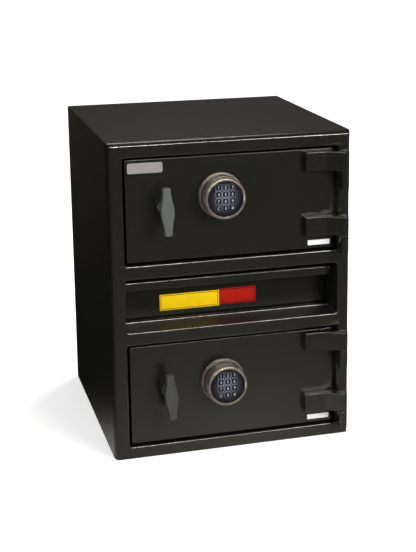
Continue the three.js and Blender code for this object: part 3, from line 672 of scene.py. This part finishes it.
def grip_quarter(steps=14):
    """One quarter of the grip's outline, from its middle's side to its end: a cubic curve that leaves the
    swollen middle upright and runs out upright at the end's half width, then a low arc over the end."""
    t = np.linspace(0, 1, steps + 1)[:, None]
    knots = np.array([
        (GRIP_HALF_MIDDLE, 0), (GRIP_HALF_MIDDLE, GRIP_SWELL[0]), (GRIP_HALF_END, GRIP_SWELL[1]),
        (GRIP_HALF_END, GRIP_HALF_LONG - GRIP_CROWN)])
    weights = [(1 - t) ** 3, 3 * t * (1 - t) ** 2, 3 * t ** 2 * (1 - t), t ** 3]
    side_curve = sum(weight * knot for weight, knot in zip(weights, knots))
    across = np.linspace(1, 0, 7)[1:, None]
    end_curve = np.concatenate([GRIP_HALF_END * across, GRIP_HALF_LONG - GRIP_CROWN * across ** 2], 1)
    return np.concatenate([side_curve, end_curve])


def leaning(points, centre, lean):
    """The points turned about a line along Y through the centre, so that the top leans to the left."""
    x, z = points[:, 0] - centre[0], points[:, 2] - centre[1]
    return np.stack([
        centre[0] + x * math.cos(lean) - z * math.sin(lean), points[:, 1],
        centre[1] + x * math.sin(lean) + z * math.cos(lean)], 1)


def satin_paint(name, dark, light):
    """Satin grey paint over a die casting, whose skin is a slight pebble of 1.6 mm. The real one is finer."""
    material, tree, place = new_finish(name)
    pebble = add(tree, "TexNoise", {"Vector": place, "Scale": 1 / (1.6 * MM), "Detail": 3.0})
    colour = add(tree, "ValToRGB", {"Fac": pebble}, ((0, dark), (1, light)))
    spread = add(tree, "MapRange", {"Value": pebble, "To Min": 0.4, "To Max": 0.55})
    relief = add(tree, "Bump", {"Height": pebble, "Distance": 0.03 * MM})
    return dress(material, Base_Color=colour, Roughness=spread, Normal=relief, Specular_IOR_Level=0.3)


for side in SIDES:
    centre = (HANDLE_X, door_z[side][0] + HANDLE_UP)
    corner = grip_quarter()
    half = np.concatenate([corner, corner[-2::-1] * (-1, 1)])
    outline = np.concatenate([half[:-1], -half[:-1]]) + centre
    grip = prism(outline, GRIP_Y, GRIP_EDGES, steps=4)
    boss_y = (GRIP_Y[1] - BOSS_SUNK, door_y[side][0] - BOSS_PLAY)
    boss_profile = eased(
        [(0, boss_y[0]), (BOSS_R[0], boss_y[0]), (BOSS_R[1], boss_y[1]), (0, boss_y[1])], [0, BOSS_ROUND])
    points, faces = joined(grip, turned(boss_profile, centre, "y", 48)[:2])
    # Each handle takes its own copy of the grey, the lower one painted darker as shade.
    handle = new_piece(
        f"{side}_t_handle", leaning(points, centre, HANDLE_LEAN[side]), faces,
        satin_paint(f"{side}_handle_paint_lit_and_shaded", *HANDLE_LIT_AND_SHADED_GREYS[side]))
    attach(handle, f"{side}_handle")
    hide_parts(f"{side}_handle")

# Keypad locks
# A two-step base ring is screwed to the door, its groove painted black as shade, and a zinc housing turns on
# it, plated in satin nickel and brushed across. Short pale bars on ring, dial and rim are painted highlights.
# A printed membrane fills its face, and twelve rubber keys stand through it with numerals and printed frames;
# film and frames are painted paler towards the middle as a sheen. The door's gloss doesn't show ring and
# dial, as it doesn't in the picture.
KEYPAD_X = -24 * MM
KEYPAD_Z = {"upper": 543 * MM, "lower": 149.5 * MM}
BASE_R = 46 * MM
BASE_STEP_R = 43.8 * MM
BASE_Y = (FRONT_Y + 5.7 * MM, FRONT_Y - 1.5 * MM, FRONT_Y - 7.6 * MM)
GROOVE_R = 42.7 * MM
GROOVE_DEPTH = 3 * MM
GROOVE_SHADE_FROM = 0.5 * MM
BASE_ROUNDS = (0.4 * MM, 1.2 * MM, 0.2 * MM, 0.5 * MM, 0.3 * MM, 0.2 * MM)
HOUSING_R = 42.5 * MM
HOUSING_Y = (FRONT_Y - 11.2 * MM, FRONT_Y - 38 * MM)
HOUSING_ROUNDS = (1.6 * MM, 4.2 * MM, 0.7 * MM, 0.2 * MM)
KEYPAD_SIDES = 96
NICKEL_LINES = 1.9 * MM
NICKEL_LINE_LONG = 30 * MM
FACE_R = 36.5 * MM
FACE_Y = FRONT_Y - 36.8 * MM
CUP_Y = FRONT_Y - 32.5 * MM
MEMBRANE_PLAY = 0.15 * MM
MEMBRANE_THICK = 0.9 * MM
MEMBRANE_EDGE = 0.1 * MM
# Membrane and frame colours are painted light: a sheen on the film and a highlight on the frames, palest at
# the given centre.
MEMBRANE_SHEEN_RINGS = ((0, "#555762"), (0.6, "#2f313a"), (0.82, "#15161c"), (1, "#08090c"))
KEY_HALF = 5.3 * MM
KEY_PITCH = 14.3 * MM
KEY_ROWS_UP = 2.6 * MM
KEY_CORNER = 1.6 * MM
KEY_EDGE = 0.6 * MM
KEY_Y = (FRONT_Y - 37.5 * MM, FRONT_Y - 34.5 * MM)
WINDOW_HALF = KEY_HALF + 0.3 * MM
FRAME_WIDE = 1.1 * MM
FRAME_THICK = 0.08 * MM
FRAME_HIGHLIGHT_AT = (-4 * MM, 6 * MM)
FRAME_HIGHLIGHT_RINGS = ((0, "#84889c"), (0.45, "#70748a"), (0.8, "#3d3f4b"), (1, "#22232a"))
# Pale bars painted on ring, dial and rim as their highlights at 9 and 3 o'clock.
HIGHLIGHT_HALF_TURN = math.radians(9.5)
HIGHLIGHT_THICK = 0.15 * MM
BASE_HIGHLIGHT_Y = (BASE_Y[2] + 1.6 * MM, BASE_Y[2] + 4 * MM)
DIAL_HIGHLIGHT_Y = (HOUSING_Y[1] + 4.6 * MM, HOUSING_Y[1] + 7 * MM)
RIM_HIGHLIGHT_R = FACE_R + 0.5 * MM
RIM_HIGHLIGHT_WIDE = 1.3 * MM
LAMP_AT = (27.5 * MM, 15.5 * MM)
LAMP_R = 1.1 * MM
LAMP_HIGH = 0.8 * MM
LAMP_ROUND = 0.6 * MM
LEGEND_HIGH = 6.4 * MM
LEGEND_HALF_THICK = 0.05 * MM
CAPITAL_SHARE = 0.72
LEGENDS = {"clear": "C", "enter": "#"}


def brushed_nickel(name, dark, light):
    """Satin nickel on a zinc casting, brushed across the turn. The real lines are about 0.1 mm apart and are
    drawn 1.9 mm apart so that they show; they run along the profile and lie side by side round the turn."""
    material, tree, place = new_finish(name, "UV")
    apart = add(tree, "SeparateXYZ", {"Vector": place})
    turns = add(tree, "Math", {
        0: apart.outputs["X"], 1: math.tau * HOUSING_R / NICKEL_LINES}, operation="MULTIPLY")
    along = add(tree, "Math", {0: apart.outputs["Y"], 1: 1 / NICKEL_LINE_LONG}, operation="MULTIPLY")
    lines_at = add(tree, "CombineXYZ", {"X": turns, "Y": along})
    lines = add(tree, "TexNoise", {"Vector": lines_at, "Scale": 1.0, "Detail": 3.0})
    colour = add(tree, "ValToRGB", {"Fac": lines}, ((0.3, dark), (0.7, light)))
    spread = add(tree, "MapRange", {"Value": lines, "To Min": 0.3, "To Max": 0.46})
    relief = add(tree, "Bump", {"Height": lines, "Distance": 0.04 * MM})
    return dress(material, Base_Color=colour, Metallic=0.6, Roughness=spread, Normal=relief)


def membrane_print_and_painted_light(name, centre, *rings):
    """Ink on a polyester film under a fine weave of 0.9 mm, with painted light: each ring gives a share of
    the face's radius from the centre and the colour there, blue-black at the rim and fading to slate round
    the keys as a painted sheen, and paler in the keys' frames as a painted highlight."""
    material, tree, place = new_finish(name)
    centred = add(tree, "Mapping", {"Vector": place, "Location": (-centre[0], -FACE_Y, -centre[1])})
    far = add(tree, "VectorMath", {0: centred}, operation="LENGTH")
    share = add(tree, "MapRange", {"Value": far.outputs["Value"], "From Max": FACE_R})
    colour = add(tree, "ValToRGB", {"Fac": share}, rings)
    weave = add(tree, "TexNoise", {"Vector": place, "Scale": 1 / (0.9 * MM), "Detail": 1.0})
    relief = add(tree, "Bump", {"Height": weave, "Distance": 0.01 * MM})
    return dress(material, Base_Color=colour, Roughness=0.3, Normal=relief, Specular_IOR_Level=0.25)


def moulded_rubber(name, dark, light, roughness):
    """Silicone rubber as it comes from the mould, with a faint bloom in patches of 3 mm. The keypad's small
    printed and moulded trim, and the pale bars painted as its rings' highlights, have the same soft gloss."""
    material, tree, place = new_finish(name)
    bloom = add(tree, "TexNoise", {"Vector": place, "Scale": 1 / (3 * MM), "Detail": 2.0})
    colour = add(tree, "ValToRGB", {"Fac": bloom}, ((0, dark), (1, light)))
    return dress(material, Base_Color=colour, Roughness=roughness, Specular_IOR_Level=0.2)


def legend(text):
    """A numeral as a raised mesh, centred on nought: its outline's points and faces, thick by a tenth of a
    millimetre, with X across and Y up."""
    curve = bpy.data.curves.new("legend", "FONT")
    curve.body = text
    curve.size = LEGEND_HIGH / CAPITAL_SHARE
    curve.resolution_u = 3
    curve.extrude = LEGEND_HALF_THICK
    holder = in_scene("legend", curve)
    graph = bpy.context.evaluated_depsgraph_get()
    mesh = bpy.data.meshes.new_from_object(holder.evaluated_get(graph))
    corners = np.zeros(len(mesh.vertices) * 3)
    mesh.vertices.foreach_get("co", corners)
    corners = corners.reshape(-1, 3)
    faces = [tuple(polygon.vertices) for polygon in mesh.polygons]
    bpy.data.objects.remove(holder)
    bpy.data.curves.remove(curve)
    bpy.data.meshes.remove(mesh)
    corners[:, :2] -= (corners[:, :2].max(0) + corners[:, :2].min(0)) / 2
    return corners, faces


def key_square(half, corner=KEY_CORNER, steps=4):
    """A rounded square about nought."""
    return rounded(rectangle((-half, half), (-half, half)), [corner] * 4, steps)


def painted_highlight_bar(centre, angle, radius, thick, levels):
    """A short bar that lies round a turned face: an arc band about the angle, raised between two levels."""
    turn = angle + np.linspace(-HIGHLIGHT_HALF_TURN, HIGHLIGHT_HALF_TURN, 13)[:, None]
    ray = np.concatenate([np.cos(turn), np.sin(turn)], 1)
    return prism(np.concatenate([centre + radius * ray, centre + (radius + thick) * ray[::-1]]), levels)


nickel = brushed_nickel("brushed_satin_nickel", "#625a50", "#9a9184")
# The pale bars are painted highlights, standing for the gleam of the rings at 9 and 3 o'clock.
highlight_paint = moulded_rubber("silver_index_paint", "#c9c3ba", "#d8d2c9", roughness=0.4)
key_rubber_and_groove_shade = moulded_rubber("black_key_rubber", "#0b0b0e", "#111115", roughness=0.42)
numeral_print = moulded_rubber("white_key_numeral_print", "#b4b5ba", "#c8c9cd", roughness=0.45)
lamp_lens = moulded_rubber("dark_red_lamp_lens", "#5a1f20", "#6d2a2a", roughness=0.2)
key_names = ["1", "2", "3", "4", "5", "6", "7", "8", "9", "clear", "0", "enter"]
numerals = {name: legend(LEGENDS.get(name, name)) for name in key_names}
for side in SIDES:
    centre = np.array([KEYPAD_X, KEYPAD_Z[side]])
    back, step, front = BASE_Y
    base_profile = eased(
        [(0, back), (BASE_R, back), (BASE_R, step), (BASE_STEP_R, step), (BASE_STEP_R, front),
         (GROOVE_R, front), (GROOVE_R, front + GROOVE_DEPTH), (0, front + GROOVE_DEPTH)],
        BASE_ROUNDS)
    points, faces, uv = turned(base_profile, centre, "y", KEYPAD_SIDES)
    base = new_piece(f"{side}_keypad_base_ring", points, faces, nickel, key_rubber_and_groove_shade, uv=uv)
    # Faces deep in the groove take the black rubber: painted shade for the dark gap between ring and housing.
    for face in base.data.polygons:
        x, y, z = face.center
        within = math.hypot(x - centre[0], z - centre[1]) < GROOVE_R + NEAR
        face.material_index = int(within and front + GROOVE_SHADE_FROM < y < front + GROOVE_DEPTH + NEAR)
    base.visible_glossy = False
    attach(base, f"{side}_door")
    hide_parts(f"{side}_keypad_base")
    bar = painted_highlight_bar(centre, math.pi, BASE_STEP_R, HIGHLIGHT_THICK, BASE_HIGHLIGHT_Y)
    base_highlight = new_piece(f"{side}_keypad_base_index", *bar, highlight_paint)
    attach(base_highlight, f"{side}_door")

    rear, rim = HOUSING_Y
    housing_profile = eased(
        [(0, rear), (HOUSING_R, rear), (HOUSING_R, rim), (FACE_R, rim), (FACE_R, CUP_Y), (0, CUP_Y)],
        HOUSING_ROUNDS, steps=6)
    points, faces, uv = turned(housing_profile, centre, "y", KEYPAD_SIDES)
    housing = new_piece(f"{side}_keypad_dial", points, faces, nickel, uv=uv)
    housing.visible_glossy = False
    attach(housing, f"{side}_keypad")
    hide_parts(f"{side}_keypad_housing")
    bars = joined(
        painted_highlight_bar(centre, math.pi, HOUSING_R, HIGHLIGHT_THICK, DIAL_HIGHLIGHT_Y),
        painted_highlight_bar(centre, 0, RIM_HIGHLIGHT_R, RIM_HIGHLIGHT_WIDE, (rim - HIGHLIGHT_THICK, rim)))
    dial_highlight = new_piece(f"{side}_keypad_dial_index", *bars, highlight_paint)
    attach(dial_highlight, f"{side}_keypad")

    key_centres = {
        name: centre + ((i % 3 - 1) * KEY_PITCH, KEY_ROWS_UP + (1.5 - i // 3) * KEY_PITCH)
        for i, name in enumerate(key_names)}
    windows = [key_square(WINDOW_HALF)[::-1] + at for at in key_centres.values()]
    film = prism(
        circle(centre, FACE_R - MEMBRANE_PLAY, 72), (FACE_Y, FACE_Y + MEMBRANE_THICK), (MEMBRANE_EDGE, 0),
        holes=windows, steps=1)
    membrane = new_piece(
        f"{side}_keypad_membrane", *film,
        membrane_print_and_painted_light(f"{side}_membrane_print_and_painted_light", centre, *MEMBRANE_SHEEN_RINGS))
    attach(membrane, f"{side}_keypad")
    frames = joined(*(
        prism(key_square(WINDOW_HALF + FRAME_WIDE, KEY_CORNER + FRAME_WIDE) + at,
              (FACE_Y - FRAME_THICK, FACE_Y), holes=[window])
        for at, window in zip(key_centres.values(), windows)))
    key_frames = new_piece(
        f"{side}_keypad_key_frames", *frames,
        membrane_print_and_painted_light(f"{side}_key_frame_print_and_highlight", centre + FRAME_HIGHLIGHT_AT, *FRAME_HIGHLIGHT_RINGS))
    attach(key_frames, f"{side}_keypad")
    lamp_top = FACE_Y - LAMP_HIGH
    lamp_profile = eased([(0, FACE_Y), (LAMP_R, FACE_Y), (LAMP_R, lamp_top), (0, lamp_top)], [0, LAMP_ROUND])
    lens = turned(lamp_profile, centre + LAMP_AT, "y", 24)[:2]
    indicator = new_piece(f"{side}_keypad_indicator_lamp", *lens, lamp_lens)
    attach(indicator, f"{side}_keypad")

    for name, at in key_centres.items():
        cap = prism(key_square(KEY_HALF) + at, KEY_Y, (KEY_EDGE, 0))
        flat, numeral_faces = numerals[name]
        numeral = np.stack([at[0] + flat[:, 0], KEY_Y[0] - flat[:, 2], at[1] + flat[:, 1]], 1)
        key = new_piece(
            f"{side}_key_cap_{name}", *joined(cap, (numeral, numeral_faces)), key_rubber_and_groove_shade, numeral_print,
            material_of_face=[0] * len(cap[1]) + [1] * len(numeral_faces))
        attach(key, f"{side}_key_{name}")
        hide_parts(f"{side}_key_{name}")

# Plates on the doors
# A blank name plate of brushed aluminium with a bright cut edge is stuck in the upper door's corner, and a
# blank white paper label low on each door beside its hinge.
NAME_PLATE = ((-212.3 * MM, -141.2 * MM), (596.6 * MM, 617.5 * MM))
NAME_PLATE_THICK = 0.8 * MM
NAME_PLATE_CORNER = 4 * MM
NAME_PLATE_EDGE = 0.35 * MM
PAPER_X = (162 * MM, 210 * MM)
PAPER_UP = (6.9 * MM, 17.4 * MM)
PAPER_THICK = 0.12 * MM
PAPER_CORNER = 1 * MM
PAPER_BORDER = (1.2 * MM, 0.4 * MM)


def brushed_aluminium(name, dark, light):
    """Anodised aluminium sheet, brushed along its length in lines drawn 0.8 mm apart, coarser than the real
    ones so that they show."""
    material, tree, place = new_finish(name)
    stretched = add(tree, "Mapping", {"Vector": place, "Scale": (0.04, 1.0, 1.0)})
    lines = add(tree, "TexNoise", {"Vector": stretched, "Scale": 1 / (0.8 * MM), "Detail": 3.0})
    colour = add(tree, "ValToRGB", {"Fac": lines}, ((0, dark), (1, light)))
    spread = add(tree, "MapRange", {"Value": lines, "To Min": 0.35, "To Max": 0.5})
    return dress(material, Base_Color=colour, Metallic=0.3, Roughness=spread)


outline = rounded(rectangle(*NAME_PLATE), [NAME_PLATE_CORNER] * 4)
front = door_y["upper"][0]
name_plate = new_piece(
    "blank_name_plate", *prism(outline, (front - NAME_PLATE_THICK, front), (NAME_PLATE_EDGE, 0)),
    brushed_aluminium("brushed_anodised_aluminium", "#8b8782", "#a29e99"))
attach(name_plate, "upper_door")
for side in SIDES:
    z = (door_z[side][0] + PAPER_UP[0], door_z[side][0] + PAPER_UP[1])
    outline = rounded(rectangle(PAPER_X, z), [PAPER_CORNER] * 4, steps=3)
    front = door_y[side][0]
    paper = new_piece(
        f"{side}_blank_label", *prism(outline, (front - PAPER_THICK, front), (LABEL_EDGE, 0), steps=1),
        printed_vinyl(f"{side}_white_label_paper", "#f0f0ee", "#e2e2de", PAPER_X, z, *PAPER_BORDER))
    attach(paper, f"{side}_door")

# Boltwork
# Behind each door a pressed cover holds three zinc plated bolts on a bar, the cam that drives them and the
# cast lock case with its bolt. A raised field stiffens the cover's back, and six zinc plated button heads
# with hexagon sockets hold it. They show only when a door stands open.
FIELD_IN = 24 * MM
FIELD_HIGH = 1.6 * MM
FIELD_CORNER = 8 * MM
SCREW_IN = 11 * MM
SCREW_R = 4.75 * MM
SCREW_HIGH = 2.5 * MM
SCREW_ROUND = 1.5 * MM
SOCKET_R = 1.9 * MM
for side in SIDES:
    coat_solids(inner_coat, f"{side}_boltwork_cover")
    coat_solids(zinc, f"{side}_bolt_bar", f"{side}_handle_cam", f"{side}_lock_case", f"{side}_lock_bolt")
    low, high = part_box(f"{side}_boltwork_cover")
    field_x, field_z = (low.x + FIELD_IN, high.x - FIELD_IN), (low.z + FIELD_IN, high.z - FIELD_IN)
    field_outline = rounded(rectangle(field_x, field_z), [FIELD_CORNER] * 4)
    raised = prism(field_outline, (high.y, high.y + FIELD_HIGH), (0, FIELD_HIGH))
    field = new_piece(f"{side}_cover_field", *raised, inner_coat)
    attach(field, f"{side}_door")
    heads = [
        prism(circle((x, z), SCREW_R, 24), (high.y, high.y + SCREW_HIGH), (0, SCREW_ROUND),
              holes=[circle((x, z), SOCKET_R, 6)[::-1]])
        for x in (low.x + SCREW_IN, (low.x + high.x) / 2, high.x - SCREW_IN)
        for z in (low.z + SCREW_IN, high.z - SCREW_IN)]
    screws = new_piece(f"{side}_cover_screws", *joined(*heads), zinc)
    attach(screws, f"{side}_door")

# Floor
# A white paper sheet. The camera, and any gloss or glass, sees it burnt out to white further from the safe,
# and close by it keeps the safe's shadow.
FLOOR_HALF = 30.0
BURNT_OUT = {"From Min": 0.3, "From Max": 0.8, "To Min": 0.6, "To Max": 1.0}
SEEN_BY = ("Is Camera Ray", "Is Glossy Ray", "Is Transmission Ray")


def seen_directly(tree):
    """One where the ray comes from the camera, gloss or glass, and nought for the light on the object."""
    path = add(tree, "LightPath")
    first, second, third = (path.outputs[ray] for ray in SEEN_BY)
    either = add(tree, "Math", {0: first, 1: second}, operation="MAXIMUM")
    return add(tree, "Math", {0: either, 1: third}, operation="MAXIMUM")


white_paper, tree, place = new_finish("white_floor_paper")
far = add(tree, "VectorMath", {0: place}, operation="LENGTH")
burnt_out = add(
    tree, "MapRange", {"Value": far.outputs["Value"], **BURNT_OUT}, interpolation_type="SMOOTHSTEP")
glow = add(tree, "Math", {0: burnt_out, 1: seen_directly(tree)}, operation="MULTIPLY")
paper_shader = add(tree, "BsdfDiffuse", {"Color": linear("#ebebea")})
glow_shader = add(tree, "Emission", {"Strength": glow})
both = add(tree, "AddShader", {0: paper_shader, 1: glow_shader})
add(tree, "OutputMaterial", {"Surface": both})
points = [(x, y, 0) for x, y in rectangle((-FLOOR_HALF, FLOOR_HALF), (-FLOOR_HALF, FLOOR_HALF))]
floor = new_piece("floor", points, [range(4)], white_paper)

# Studio
# Four soft lamps light the safe, and only its gloss sees a dome of dark cards: grey low in front, at the
# right and behind, and warm behind. Of four white strips, two high in front with a dark gap between them draw
# the bright lines along its edges, and the others, front left and high behind, those of its side and top.
LAMPS = (
    # name, place, facing, sides in metres, watts
    ("soft_lamp_front_right", (1.2, -2.8, 1.5), (0, -0.25, 0.33), (1.3, 1.3), 68),
    ("soft_lamp_above", (0.2, -0.4, 2.5), (0, 0, 0.4), (1.4, 0.9), 13),
    ("soft_lamp_left", (-2.4, -1.7, 1.0), (0, 0, 0.33), (1.0, 1.0), 14),
    ("soft_lamp_behind", (1.9, 2.3, 1.4), (0, 0, 0.33), (1.3, 1.3), 60))
CARDS_R = 4.0
CARDS_UP = 0.5 * MM
CARDS_CENTRE = np.array([0, 0, 0.33])
CARDS_DARK = 0.006
CARD_LIGHT = (
    # towards, width in degrees, strength, colour
    ((0.10, -0.60, -0.80), 32, 0.68, "#fff8f0"),
    ((0.10, 0.96, 0.25), 20, 0.11, "#ffecd8"),
    ((0.0, 0.0, 1.0), 26, 0.12, "#ffffff"),
    ((1.0, -0.5, 0.25), 24, 0.08, "#ffffff"),
    ((1.0, 0.10, -0.40), 26, 0.35, "#ffffff"),
    ((0.6, 0.65, -0.50), 26, 0.40, "#ffffff"),
    ((-0.65, -0.55, -0.60), 20, 0.25, "#ffffff"))
STRIPS = (
    # degrees up, degrees round to the right of the front, strength
    ((21, 31), (-9, 9), 42.0),
    ((21, 31), (17, 31), 35.0),
    ((46, 62), (150, 178), 3.0),
    ((25, 45), (-56, -32), 8.0))
for name, at, facing, sides, watts in LAMPS:
    light = bpy.data.lights.new(name, "AREA")
    light.shape = "RECTANGLE"
    light.size, light.size_y = sides
    light.energy = watts
    lamp = in_scene(name, light)
    lamp.location = at
    lamp.rotation_euler = (Vector(at) - Vector(facing)).to_track_quat("Z", "Y").to_euler()
    lamp.visible_camera = False
    lamp.visible_glossy = False

on_floor = np.linspace(0, CARDS_R, 25)
up = np.radians(np.concatenate([np.linspace(0, 45, 61)[1:], np.linspace(45, 90, 19)[1:]]))
cards_profile = np.concatenate([
    np.stack([on_floor, 0 * on_floor + CARDS_UP], 1),
    np.stack([CARDS_R * np.cos(up), CARDS_UP + CARDS_R * np.sin(up)], 1)])
cards_paint = bpy.data.materials.new("studio_cards")
tree = emptied(cards_paint)
card_light = add(tree, "Attribute", attribute_name="card_light")
card_shader = add(tree, "Emission", {"Color": card_light, "Strength": 1.0})
add(tree, "OutputMaterial", {"Surface": card_shader})
cards = new_piece("studio_cards", *turned(cards_profile, (0, 0), "z", 96)[:2], cards_paint)
corners = np.zeros(len(cards.data.vertices) * 3)
cards.data.vertices.foreach_get("co", corners)
direction = corners.reshape(-1, 3) - CARDS_CENTRE
direction /= np.linalg.norm(direction, axis=1, keepdims=True)
card_colour = np.full((len(direction), 4), CARDS_DARK)
for towards, width, strength, colour in CARD_LIGHT:
    towards = np.array(towards) / np.linalg.norm(towards)
    apart = np.degrees(np.arccos(np.clip(direction @ towards, -1, 1)))
    card_colour += np.outer(strength * np.exp(-(apart / width) ** 2), linear(colour))
height = np.degrees(np.arcsin(direction[:, 2]))
azimuth = np.degrees(np.arctan2(direction[:, 0], -direction[:, 1]))
for (low, high), (start, end), strength in STRIPS:
    card_colour[(height > low) & (height < high) & (azimuth > start) & (azimuth < end)] += strength
cards.data.attributes.new("card_light", "FLOAT_COLOR", "POINT").data.foreach_set(
    "color", card_colour.astype(np.float32).ravel())
for ray in ("camera", "diffuse", "transmission", "shadow", "volume_scatter"):
    setattr(cards, f"visible_{ray}", False)

surround = bpy.data.worlds.new("white_surround")
bpy.context.scene.world = surround
tree = emptied(surround)
strength = add(tree, "MapRange", {"Value": seen_directly(tree), "To Min": 0.25, "To Max": 1.0})
background = add(tree, "Background", {"Color": (1, 1, 1, 1), "Strength": strength})
add(tree, "OutputWorld", {"Surface": background})

# Update
# The view layer is brought up to date with all that was set above.
bpy.context.view_layer.update()
